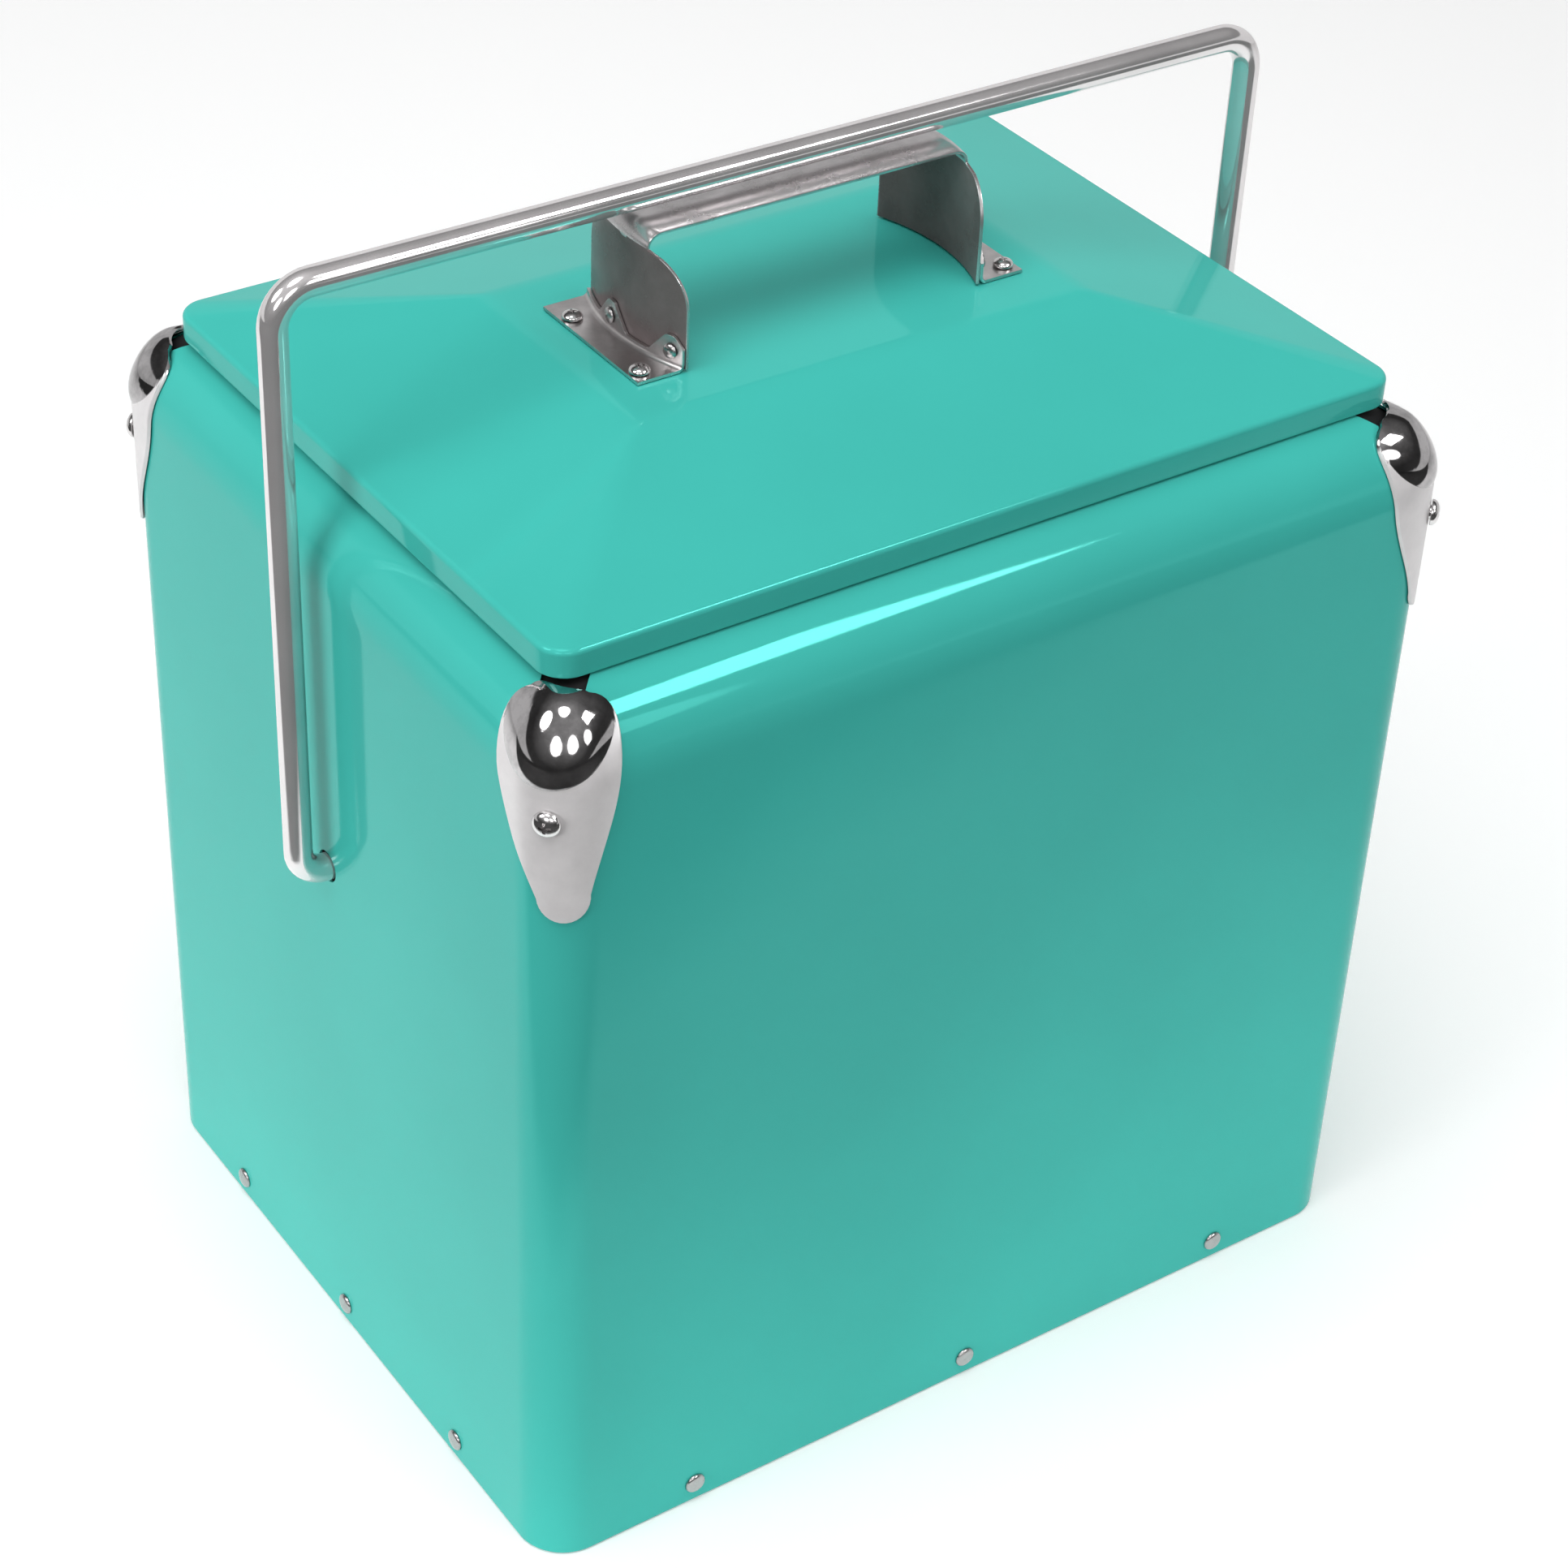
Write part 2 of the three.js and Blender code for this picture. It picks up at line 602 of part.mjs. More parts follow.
/** Hip-roofed block of the lid's outside, `depth` in from its skin, starting at `bottom`. */
function lidBlock(depth, bottom) {
  const { halfX, halfY, radius, crease, edgeRadius } = LID;
  const edge = [
    [0, bottom],
    [0, crease - edgeRadius],
    [edgeRadius * 0.3, crease - edgeRadius * 0.3],
    [edgeRadius, crease],
  ];
  const rings = edge.map(([inset, z]) => roundedRing(
    halfX - inset - depth,
    halfY - inset - depth,
    radius - inset,
    z === bottom ? z : z - depth,
  ));
  rings.push(roundedRing(LID_PANEL.halfX, LID_PANEL.halfY, LID_PANEL.radius, LID_PANEL.top - depth));
  return solidOf(loft(rings));
}

const FOOT_SCREW_SIZE = { shank: 1.8, hole: 2.1, head: 3.2, rise: 2.1, length: 9 };
const FOOT_SCREWS = [-1, 1].flatMap((sideX) => ['front', 'back'].map((end) => ({
  name: `foot_screw_${sideX < 0 ? 'left' : 'right'}_${end}`,
  point: new THREE.Vector3(sideX * FOOT_SCREW.x, FOOT_SCREW[end], LID_PANEL.top),
})));

/** Painted lid skin with its turned-down rim. */
function lidShell() {
  const holes = FOOT_SCREWS.map((screw) => pin(FOOT_SCREW_SIZE.hole, screw.point, UP, -3, 1));
  return subtractAll(lidBlock(0, LID.bottom).subtract(lidBlock(STEEL, LID.bottom - 1)), holes);
}

/** Moulded underside of the lid: a flange and a shallow plug that drops into the mouth. */
function lidPan() {
  const plug = { halfX: 126.5, halfY: 94.5, radius: 18 };
  const draft = 1.5;
  const flangeInset = STEEL + 0.4;
  const flangeTop = LID_FLANGE_BOTTOM + LID_PAN_WALL;
  const plugRing = (inset, radius, z) => roundedRing(plug.halfX - inset, plug.halfY - inset, radius, z);
  const plugBlock = (inset, bottom, top) => solidOf(loft([
    plugRing(inset + draft, plug.radius - inset, bottom),
    plugRing(inset, plug.radius - inset, top),
  ]));
  const flange = prism(
    LID.halfX - flangeInset,
    LID.halfY - flangeInset,
    LID.radius - flangeInset,
    LID_FLANGE_BOTTOM,
    flangeTop,
  );
  return plugBlock(0, LID_PLUG_BOTTOM, flangeTop).add(flange)
    .subtract(plugBlock(LID_PAN_WALL, LID_PLUG_BOTTOM + LID_PAN_WALL, flangeTop + 1));
}

/** Foam core that fills the lid between its skin and its pan. */
function lidInsulation() {
  const plug = { halfX: 122.6, halfY: 90.6, radius: 15 };
  const skin = STEEL + GAP;
  const flangeTop = LID_FLANGE_BOTTOM + LID_PAN_WALL + GAP;
  const plugTop = LID_PLUG_BOTTOM + LID_PAN_WALL + GAP;
  const core = lidBlock(skin, flangeTop);
  const lower = prism(plug.halfX, plug.halfY, plug.radius, plugTop, flangeTop + 1);
  const pockets = FOOT_SCREWS.map((screw) => pin(
    FOOT_SCREW_SIZE.hole,
    screw.point,
    UP,
    -FOOT_SCREW_SIZE.length - 1,
    1,
  ));
  return subtractAll(core.add(lower), pockets);
}

/** Soft ring under the lid's flange that seats on the collar. */
function lidGasket() {
  const width = 6;
  const inner = 0.6;
  const bottom = RIM_TOP + GAP;
  const top = LID_FLANGE_BOTTOM - GAP;
  const outside = prism(MOUTH.halfX + width, MOUTH.halfY + width, MOUTH.radius, bottom, top);
  const hole = prism(MOUTH.halfX + inner, MOUTH.halfY + inner, MOUTH.radius - width, bottom - 1, top + 1);
  return outside.subtract(hole);
}

// ---- Strap handle --------------------------------------------------------------------------

/** Where a leg's middle surface stands in X at depth y; the leg bows outwards in plan. */
const legX = (y) => STRAP.legX - (y * y) / (2 * STRAP.bowRadius);

/** Middle surface of the strap: u from the left foot to the right foot, v from front to back. */
function strapPoint(u, v) {
  const side = u < 0.5 ? -1 : 1;
  const travel = 1 - Math.abs(2 * u - 1); // 0 at a foot, 1 at the middle of the grip
  const share = { leg: 0.55, bend: 0.8 };
  const shoulder = 14; // height of the rounded upper corners of a leg
  const bendStart = STRAP.gripTop - PLATED / 2 - STRAP.bend;
  const across = 2 * v - 1;
  if (travel <= share.leg) {
    const z = THREE.MathUtils.lerp(STRAP.foot, bendStart, travel / share.leg);
    const climb = Math.max((z - (bendStart - shoulder)) / shoulder, 0);
    const widening = Math.sqrt(Math.max(1 - climb * climb, 0));
    const half = THREE.MathUtils.lerp(STRAP.gripHalf, STRAP.legHalf, widening);
    const y = across * half;
    return new THREE.Vector3(side * legX(y), y, z);
  }
  const y = across * STRAP.gripHalf;
  const turn = Math.min((travel - share.leg) / (share.bend - share.leg), 1) * (Math.PI / 2);
  const bow = Math.cos(turn) * (STRAP.legX - legX(y));
  const bendX = STRAP.legX - STRAP.bend + STRAP.bend * Math.cos(turn) - bow;
  const run = Math.max((travel - share.bend) / (1 - share.bend), 0);
  const crown = 0.9 * Math.sin(turn) * across * across;
  return new THREE.Vector3(
    side * bendX * (1 - run),
    y,
    bendStart + STRAP.bend * Math.sin(turn) - crown,
  );
}

/** Outer face of the left or right leg where a rivet passes, and the way the rivet points. */
const STRAP_RIVETS = [-1, 1].flatMap((sideX) => ['front', 'back'].map((end) => {
  const y = STRAP_RIVET[end];
  return {
    name: `strap_rivet_${sideX < 0 ? 'left' : 'right'}_${end}`,
    point: new THREE.Vector3(sideX * legX(y), y, STRAP_RIVET.z),
    outward: new THREE.Vector3(sideX, y / STRAP.bowRadius, 0).normalize(),
  };
}));

const SMALL_RIVET = { shank: 1.2, hole: 1.5, head: 2.4, rise: 1.2 };

function strapHandle() {
  const holes = STRAP_RIVETS.map((rivet) => pin(SMALL_RIVET.hole, rivet.point, rivet.outward, -3, 3, 8));
  return subtractAll(sheet(strapPoint, 40, 6, PLATED), holes);
}

/** Middle surface of a foot: u down the ears, round the bend and out along the flange. */
function footPoint(side) {
  const bend = 2;
  const flangeZ = LID_PANEL.top + GAP + PLATED / 2;
  return (u, v) => {
    const y = (2 * v - 1) * STRAP.legHalf;
    const faceX = legX(y) + PLATED + GAP;
    const fromEar = Math.min(Math.abs(y - STRAP_RIVET.front), Math.abs(y - STRAP_RIVET.back));
    const ear = (FOOT.earHalf - fromEar) / (FOOT.earHalf - FOOT.earTipHalf);
    const top = THREE.MathUtils.lerp(FOOT.middleTop, FOOT.earTop, THREE.MathUtils.clamp(ear, 0, 1));
    const share = { ear: 0.35, bend: 0.6 };
    if (u <= share.ear) {
      const z = THREE.MathUtils.lerp(top, flangeZ + bend, u / share.ear);
      return new THREE.Vector3(side * faceX, y, z);
    }
    const turn = Math.min((u - share.ear) / (share.bend - share.ear), 1) * (Math.PI / 2);
    const bendX = faceX + bend * (1 - Math.cos(turn));
    const run = Math.max((u - share.bend) / (1 - share.bend), 0);
    return new THREE.Vector3(
      side * THREE.MathUtils.lerp(bendX, FOOT.outerX, run),
      y,
      flangeZ + bend * (1 - Math.sin(turn)),
    );
  };
}

function handleFoot(side) {
  const screwHoles = FOOT_SCREWS.map((screw) => pin(FOOT_SCREW_SIZE.hole, screw.point, UP, -1, 3));
  const rivetHoles = STRAP_RIVETS.map(({ point, outward }) => (
    pin(SMALL_RIVET.hole, point, outward, -3, 4, 8)
  ));
  return subtractAll(sheet(footPoint(side), 8, 26, PLATED), [...screwHoles, ...rivetHoles]);
}

/** Small rivet through a leg and its foot. */
function strapRivet({ point, outward }) {
  const inner = -PLATED / 2 - GAP;
  const outer = PLATED * 1.5 + 2 * GAP;
  return turned([
    [0, inner - 0.9],
    [SMALL_RIVET.head * 0.8, inner - 0.7],
    [SMALL_RIVET.head * 0.8, inner],
    [SMALL_RIVET.shank, inner],
    [SMALL_RIVET.shank, outer],
    [SMALL_RIVET.head, outer],
    [SMALL_RIVET.head * 0.75, outer + SMALL_RIVET.rise * 0.7],
    [0, outer + SMALL_RIVET.rise],
  ], point, outward, 8);
}

// ---- Assembly ------------------------------------------------------------------------------

addPiece('outer_shell', outerShell(), 'paint');
addPiece('bottom_pan', bottomPan(), 'galvanised');
addPiece('body_insulation', bodyInsulation(), 'foam');
addPiece('liner_tub', linerTub(), 'linerPlastic');
addPiece('rim_collar', rimCollar(), 'blackPlastic');
for (const corner of CORNERS) {
  addPiece(`corner_cap_${corner.name}`, cornerCap(corner), 'chrome');
  const screw = crossScrew(CAP_SCREW, CAP_SCREW.capOffset, corner.screwPoint, corner.screwWay);
  addPiece(`cap_screw_${corner.name}`, screw, 'chrome');
}
for (const rivet of BASE_RIVETS) addPiece(rivet.name, baseRivet(rivet), 'nickel');
for (const end of ENDS) {
  addPiece(`pivot_sleeve_${end.name}`, pivotSleeve(end), 'blackPlastic');
  addPiece(`bail_retainer_${end.name}`, bailRetainer(end), 'galvanised');
}
addPiece('bail_handle', bailHandle(), 'chrome');
addPiece('lid_shell', lidShell(), 'paint');
addPiece('lid_insulation', lidInsulation(), 'foam');
addPiece('lid_pan', lidPan(), 'linerPlastic');
addPiece('lid_gasket', lidGasket(), 'rubber');
addPiece('strap_handle', strapHandle(), 'chrome');
addPiece('handle_foot_left', handleFoot(-1), 'nickel');
addPiece('handle_foot_right', handleFoot(1), 'nickel');
for (const screw of FOOT_SCREWS) {
  const seat = PLATED + 2 * GAP;
  addPiece(screw.name, crossScrew(FOOT_SCREW_SIZE, seat, screw.point, UP), 'chrome');
}
for (const rivet of STRAP_RIVETS) addPiece(rivet.name, strapRivet(rivet), 'nickel');

export default cooler;
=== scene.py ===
import math

import bmesh
import bpy
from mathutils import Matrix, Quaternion, Vector

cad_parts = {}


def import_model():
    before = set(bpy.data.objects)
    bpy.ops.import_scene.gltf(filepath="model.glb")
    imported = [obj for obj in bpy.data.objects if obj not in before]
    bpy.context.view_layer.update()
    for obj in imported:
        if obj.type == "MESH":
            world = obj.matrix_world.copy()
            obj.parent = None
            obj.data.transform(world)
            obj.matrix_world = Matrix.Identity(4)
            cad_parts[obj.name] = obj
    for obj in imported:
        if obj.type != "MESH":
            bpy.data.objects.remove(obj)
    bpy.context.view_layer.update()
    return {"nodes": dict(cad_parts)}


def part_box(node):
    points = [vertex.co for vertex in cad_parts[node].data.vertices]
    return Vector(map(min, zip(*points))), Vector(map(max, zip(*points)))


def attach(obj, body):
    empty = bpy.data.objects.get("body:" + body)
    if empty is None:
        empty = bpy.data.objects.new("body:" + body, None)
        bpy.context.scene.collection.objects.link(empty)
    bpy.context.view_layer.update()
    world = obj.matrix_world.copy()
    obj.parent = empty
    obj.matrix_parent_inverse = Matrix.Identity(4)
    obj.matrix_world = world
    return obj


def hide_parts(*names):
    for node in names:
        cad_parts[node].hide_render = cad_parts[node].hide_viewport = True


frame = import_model()

# Shapes below are written in millimetres and scaled once, when a mesh is made.
MM = 0.001


def span(node):
    """Lowest and highest corner of a CAD node, in millimetres."""
    low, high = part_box(node)
    return low / MM, high / MM


# ---- Sizes taken from the frame --------------------------------------------------------------

SHELL_LOW, SHELL_HIGH = span("outer_shell")
_, PAN_HIGH = span("bottom_pan")
COLLAR_LOW, COLLAR_HIGH = span("rim_collar")
TUB_LOW, TUB_HIGH = span("liner_tub")
LID_LOW, LID_HIGH = span("lid_shell")
LID_PAN_LOW, LID_PAN_HIGH = span("lid_pan")
GASKET_LOW, GASKET_HIGH = span("lid_gasket")
BAIL_LOW, BAIL_HIGH = span("bail_handle")
STRAP_LOW, STRAP_HIGH = span("strap_handle")
_, FOOT_HIGH = span("handle_foot_right")

# ---- Sizes of the shapes themselves ----------------------------------------------------------

STEEL = 0.8
PLATED = 1.0
GAP = 0.3
CORNER_RADIUS = 16
SHARPEST_CORNER = 7  # plan radius of the corners where the shoulder has turned in
SHOULDER_START = 290
SHOULDER_RADIUS = 28
ROD_RADIUS = 4.4
MOUTH = (131, 99, 20)  # half length, half depth, corner radius
LID_PANEL = (79, 43.2, 2)
LID_RADIUS = 9
LID_CREASE = 325.7
LEG_BOW = 64  # larger is flatter
STRAP_BEND = 5  # between each leg and the grip, to the middle of the sheet
STRAP_SHOULDER = 14  # height over which a leg narrows to the grip
STRAP_RIVET_Z = 348.2
STRAP_RIVET_Y = {"front": -21.5, "back": 4.5}
FOOT_SCREW_X = 64.9
FOOT_SCREW_Y = {"front": -21.1, "back": 15.8}
CAP_SCREW_Z = 282.6
CAP_GAP = 0.45  # the caps stand this far off the wrap
RELIEF = (21, 13, 14)  # notch in the wrap behind each cap: outward, sideways, up
RELIEF_FOOT = 308
ROD_HOLE_RADIUS = 5.2

UP = Vector((0, 0, 1))

# The camera was matched to the photograph's view of the chest.
CAMERA = {"yaw": -35.652, "pitch": 35.876, "roll": 2.757, "distance": 1191.32, "lens": 83.15}
CAMERA_TARGET = Vector((7.95, 0, 157.84))
SENSOR_WIDTH = 36


# ---- Mesh helpers ----------------------------------------------------------------------------

def make_object(name, points, faces):
    mesh = bpy.data.meshes.new(name)
    mesh.from_pydata([tuple(p * MM) for p in points], [], faces)
    mesh.update()
    fixer = bmesh.new()
    fixer.from_mesh(mesh)
    bmesh.ops.recalc_face_normals(fixer, faces=fixer.faces)
    fixer.to_mesh(mesh)
    fixer.free()
    piece = bpy.data.objects.new(name, mesh)
    bpy.context.scene.collection.objects.link(piece)
    return piece


def smooth(piece, angle=35, weighted=True):
    """Smooth shading with sharp edges kept above an angle in degrees."""
    piece.data.shade_smooth()
    piece.data.set_sharp_from_angle(angle=math.radians(angle))
    if weighted:
        modifier = piece.modifiers.new("even_normals", "WEIGHTED_NORMAL")
        modifier.keep_sharp = True
    return piece


def bake_modifiers(piece):
    """Turns a piece's modifiers into its mesh."""
    graph = bpy.context.evaluated_depsgraph_get()
    final = bpy.data.meshes.new_from_object(piece.evaluated_get(graph))
    piece.modifiers.clear()
    piece.data = final
    return piece


def cut(piece, cutters):
    """Cuts the cutters' shapes out of a piece and removes them."""
    for cutter in cutters:
        modifier = piece.modifiers.new("cut", "BOOLEAN")
        modifier.operation = "DIFFERENCE"
        modifier.solver = "EXACT"
        modifier.object = cutter
    bake_modifiers(piece)
    for cutter in cutters:
        bpy.data.objects.remove(cutter)
    return piece


def soften_edges(piece, width, angle=50, segments=2):
    modifier = piece.modifiers.new("soft_edges", "BEVEL")
    modifier.width = width * MM
    modifier.segments = segments
    modifier.limit_method = "ANGLE"
    modifier.angle_limit = math.radians(angle)
    return bake_modifiers(piece)


def strip_faces(level_count, ring_size, closed_levels=False):
    """Quads between rings of points; each ring closes on itself."""
    faces = []
    for level in range(level_count if closed_levels else level_count - 1):
        here = level * ring_size
        above = ((level + 1) % level_count) * ring_size
        for i in range(ring_size):
            j = (i + 1) % ring_size
            faces.append((here + i, here + j, above + j, above + i))
    return faces


def loft(name, rings, end_caps=True):
    """Solid through rings; without end caps the last ring joins the first."""
    ring_size = len(rings[0])
    points = [p for ring in rings for p in ring]
    faces = strip_faces(len(rings), ring_size, closed_levels=not end_caps)
    if end_caps:
        faces.append(tuple(range(ring_size)))
        faces.append(tuple(range(len(points) - ring_size, len(points))))
    return make_object(name, points, faces)


def rounded_ring(half_x, half_y, radius, z, corner_steps=14):
    """Horizontal rounded rectangle; short stretches beside each arc keep the flats flat."""
    margin = 1.5
    ring = []
    for quarter, (side_x, side_y) in enumerate(((1, 1), (-1, 1), (-1, -1), (1, -1))):
        centre = Vector((side_x * (half_x - radius), side_y * (half_y - radius), z))
        start = quarter * math.pi / 2
        first = Vector((math.cos(start), math.sin(start), 0))
        last = Vector((-first.y, first.x, 0))
        ring.append(centre + radius * first - margin * last)
        for step in range(corner_steps + 1):
            angle = start + step / corner_steps * math.pi / 2
            ring.append(centre + radius * Vector((math.cos(angle), math.sin(angle), 0)))
        ring.append(centre + radius * last - margin * first)
    return ring


def body_ring(inset, z):
    """Ring that follows the chest's outline, drawn in by an inset."""
    radius = max(CORNER_RADIUS - inset, SHARPEST_CORNER)
    return rounded_ring(SHELL_HIGH.x - inset, SHELL_HIGH.y - inset, radius, z)


def shoulder(depth, top, steps=18):
    """[inset, z] pairs up the shoulder, at a depth below the skin."""
    reach = SHOULDER_RADIUS - depth
    end = math.asin(min((top - SHOULDER_START) / reach, 1))
    pairs = []
    for step in range(steps + 1):
        lean = end * step / steps
        pairs.append((SHOULDER_RADIUS - reach * math.cos(lean), SHOULDER_START + reach * math.sin(lean)))
    return pairs


def sheet(name, point, rows, columns, thickness):
    """Closed sheet of even thickness about a surface point(u, v)."""
    step = 1e-3
    sides = []
    for side in (1, -1):
        for row in range(rows + 1):
            for column in range(columns + 1):
                u, v = row / rows, column / columns
                along_u = point(min(u + step, 1), v) - point(max(u - step, 0), v)
                along_v = point(u, min(v + step, 1)) - point(u, max(v - step, 0))
                normal = along_u.cross(along_v).normalized()
                sides.append(point(u, v) + side * thickness / 2 * normal)
    width = columns + 1
    other = (rows + 1) * width
    faces = []
    for row in range(rows):
        for column in range(columns):
            a = row * width + column
            quad = (a, a + width, a + width + 1, a + 1)
            faces.append(quad)
            faces.append(tuple(other + i for i in reversed(quad)))
        for a in (row * width, row * width + columns):
            faces.append((a, other + a, other + a + width, a + width))
    for column in range(columns):
        for a in (column, rows * width + column):
            faces.append((a, a + 1, other + a + 1, other + a))
    return make_object(name, sides, faces)


def turned(name, profile, origin, direction, sides=32):
    """Turned piece from [radius, height] pairs along a direction; ends lie on the axis."""
    turn = Vector((0, 0, 1)).rotation_difference(direction)
    rings = []
    for radius, height in profile:
        ring = []
        for side in range(sides):
            angle = side / sides * 2 * math.pi
            local = Vector((radius * math.cos(angle), radius * math.sin(angle), height))
            ring.append(origin + turn @ local)
        rings.append(ring)
    return loft(name, rings)


def block(name, size, origin, direction, spin=0.0, taper=1.0):
    """Box cutter with its height along a direction; its lower face can be narrower."""
    turn = Vector((0, 0, 1)).rotation_difference(direction) @ Quaternion((0, 0, 1), spin)
    rings = []
    for height, scale in ((-size[2] / 2, taper), (size[2] / 2, 1.0)):
        half_x, half_y = size[0] / 2 * scale, size[1] / 2 * scale
        corners = ((half_x, half_y), (-half_x, half_y), (-half_x, -half_y), (half_x, -half_y))
        rings.append([origin + turn @ Vector((x, y, height)) for x, y in corners])
    return loft(name, rings)


def use(piece, body, nodes, material):
    """A piece stands for CAD nodes, rides on their body and wears a material."""
    piece.data.materials.clear()
    piece.data.materials.append(material)
    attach(piece, body)
    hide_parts(*nodes)
    return piece


# ---- Materials -------------------------------------------------------------------------------

class Look:
    """One node material around a Principled shader, textured in the part's own space."""

    def __init__(self, name, base, metallic=0.0, roughness=0.4):
        self.material = bpy.data.materials.new(name)
        self.material.use_nodes = True
        self.nodes = self.material.node_tree.nodes
        self.links = self.material.node_tree.links
        self.shader = self.nodes["Principled BSDF"]
        self.shader.inputs["Base Color"].default_value = (*base, 1)
        self.shader.inputs["Metallic"].default_value = metallic
        self.shader.inputs["Roughness"].default_value = roughness
        self.base = base
        self.place = self.nodes.new("ShaderNodeTexCoord").outputs["Object"]

    def stretched(self, scale):
        """Object space stretched by a scale for each axis."""
        mapping = self.nodes.new("ShaderNodeMapping")
        mapping.inputs["Scale"].default_value = scale
        self.links.new(self.place, mapping.inputs["Vector"])
        return mapping.outputs["Vector"]

    def along(self, direction):
        """How far a spot lies along a direction."""
        node = self.nodes.new("ShaderNodeVectorMath")
        node.operation = "DOT_PRODUCT"
        node.inputs[1].default_value = direction
        self.links.new(self.place, node.inputs[0])
        return node.outputs["Value"]

    def noise(self, scale, detail=3.0, rough=0.5, place=None):
        node = self.nodes.new("ShaderNodeTexNoise")
        node.inputs["Scale"].default_value = scale
        node.inputs["Detail"].default_value = detail
        node.inputs["Roughness"].default_value = rough
        self.links.new(place or self.place, node.inputs["Vector"])
        return node.outputs["Fac"]

    def cells(self, scale):
        node = self.nodes.new("ShaderNodeTexVoronoi")
        node.inputs["Scale"].default_value = scale
        self.links.new(self.place, node.inputs["Vector"])
        return node.outputs["Distance"], node.outputs["Color"]

    def attribute(self, name):
        node = self.nodes.new("ShaderNodeAttribute")
        node.attribute_name = name
        return node.outputs["Fac"]

    def spread(self, value, low, high, start=0.3, end=0.7):
        """A texture value mapped to the range low to high."""
        node = self.nodes.new("ShaderNodeMapRange")
        node.inputs["From Min"].default_value = start
        node.inputs["From Max"].default_value = end
        node.inputs["To Min"].default_value = low
        node.inputs["To Max"].default_value = high
        self.links.new(value, node.inputs["Value"])
        return node.outputs["Result"]

    def combine(self, operation, first, second):
        node = self.nodes.new("ShaderNodeMath")
        node.operation = operation
        for socket, value in zip(node.inputs, (first, second)):
            if isinstance(value, (int, float)):
                socket.default_value = value
            else:
                self.links.new(value, socket)
        return node.outputs["Value"]

    def colours(self, value, stops):
        node = self.nodes.new("ShaderNodeValToRGB")
        ramp = node.color_ramp
        while len(ramp.elements) < len(stops):
            ramp.elements.new(0.5)
        for element, (position, colour) in zip(ramp.elements, stops):
            element.position = position
            element.color = (*colour, 1)
        self.links.new(value, node.inputs["Fac"])
        return node.outputs["Color"]

    def mixed(self, share, first, second):
        """The first colour where the share is 0 and the second where it is 1."""
        node = self.nodes.new("ShaderNodeMix")
        node.data_type = "RGBA"
        self.links.new(share, node.inputs[0])
        self.links.new(first, node.inputs[6])
        self.links.new(second, node.inputs[7])
        return node.outputs[2]

    def set(self, name, value):
        self.links.new(value, self.shader.inputs[name])
        return self

    def fixed(self, **values):
        for name, value in values.items():
            self.shader.inputs[name.replace("_", " ")].default_value = value
        return self

    def bumps(self, *layers):
        """Layers of (height, distance in millimetres), finest last."""
        previous = None
        for height, distance in layers:
            node = self.nodes.new("ShaderNodeBump")
            node.inputs["Strength"].default_value = 1.0
            node.inputs["Distance"].default_value = distance * MM
            self.links.new(height, node.inputs["Height"])
            if previous is not None:
                self.links.new(previous, node.inputs["Normal"])
            previous = node.outputs["Normal"]
        self.links.new(previous, self.shader.inputs["Normal"])
        return self.material


def shade(base, factor):
    return tuple(min(c * factor, 1.0) for c in base)


def teal_paint():
    base = (0.056, 0.47, 0.412)
    look = Look("teal_enamel", base, metallic=0.06)
    cloud = look.noise(7, detail=4)
    look.set("Base Color", look.colours(cloud, ((0.3, shade(base, 0.95)), (0.7, shade(base, 1.06)))))
    look.set("Roughness", look.spread(look.noise(45, detail=5), 0.045, 0.085))
    look.fixed(Specular_IOR_Level=0.08, Specular_Tint=(0.7, 1.0, 0.97, 1))
    return look.bumps((look.noise(22, detail=1), 0.05), (look.noise(420, detail=2), 0.004))


def plated(name, base, low, high, scratch=0.002, smudge=26, metallic=1.0):
    """Bright plating with hazy patches and fine scratches."""
    look = Look(name, base, metallic=metallic)
    haze = look.noise(smudge, detail=5, rough=0.6)
    look.set("Base Color", look.colours(haze, ((0.3, shade(base, 0.86)), (0.7, base))))
    look.set("Roughness", look.spread(haze, low, high))
    scratches = look.noise(160, detail=4, place=look.stretched((1, 14, 1)))
    return look.bumps((look.noise(60, detail=2), 0.01), (scratches, scratch))


def cap_plate():
    """Polished on the stamped dome, satin with fine pits on the flat border and tongue."""
    satin_base, polished_base = (0.78, 0.76, 0.765), (0.52, 0.505, 0.51)
    look = Look("cap_plate", satin_base)
    dome = look.attribute("dome")
    haze = look.noise(90, detail=5, rough=0.65)
    satin = look.colours(haze, ((0.32, shade(satin_base, 0.9)), (0.68, satin_base)))
    polished = look.colours(haze, ((0.36, shade(polished_base, 0.6)), (0.6, polished_base)))
    look.set("Base Color", look.mixed(dome, satin, polished))
    look.set("Metallic", look.spread(dome, 0.22, 1.0, start=0.0, end=1.0))
    satin_rough, polished_rough = look.spread(haze, 0.3, 0.42), look.spread(haze, 0.04, 0.1)
    gap = look.combine("SUBTRACT", polished_rough, satin_rough)
    change = look.combine("MULTIPLY", gap, dome)
    look.set("Roughness", look.combine("ADD", satin_rough, change))
    pits = look.spread(look.noise(520, detail=1), 0.0, 1.0, start=0.62, end=0.74)
    return look.bumps((look.noise(70, detail=2), 0.005), (pits, 0.004))


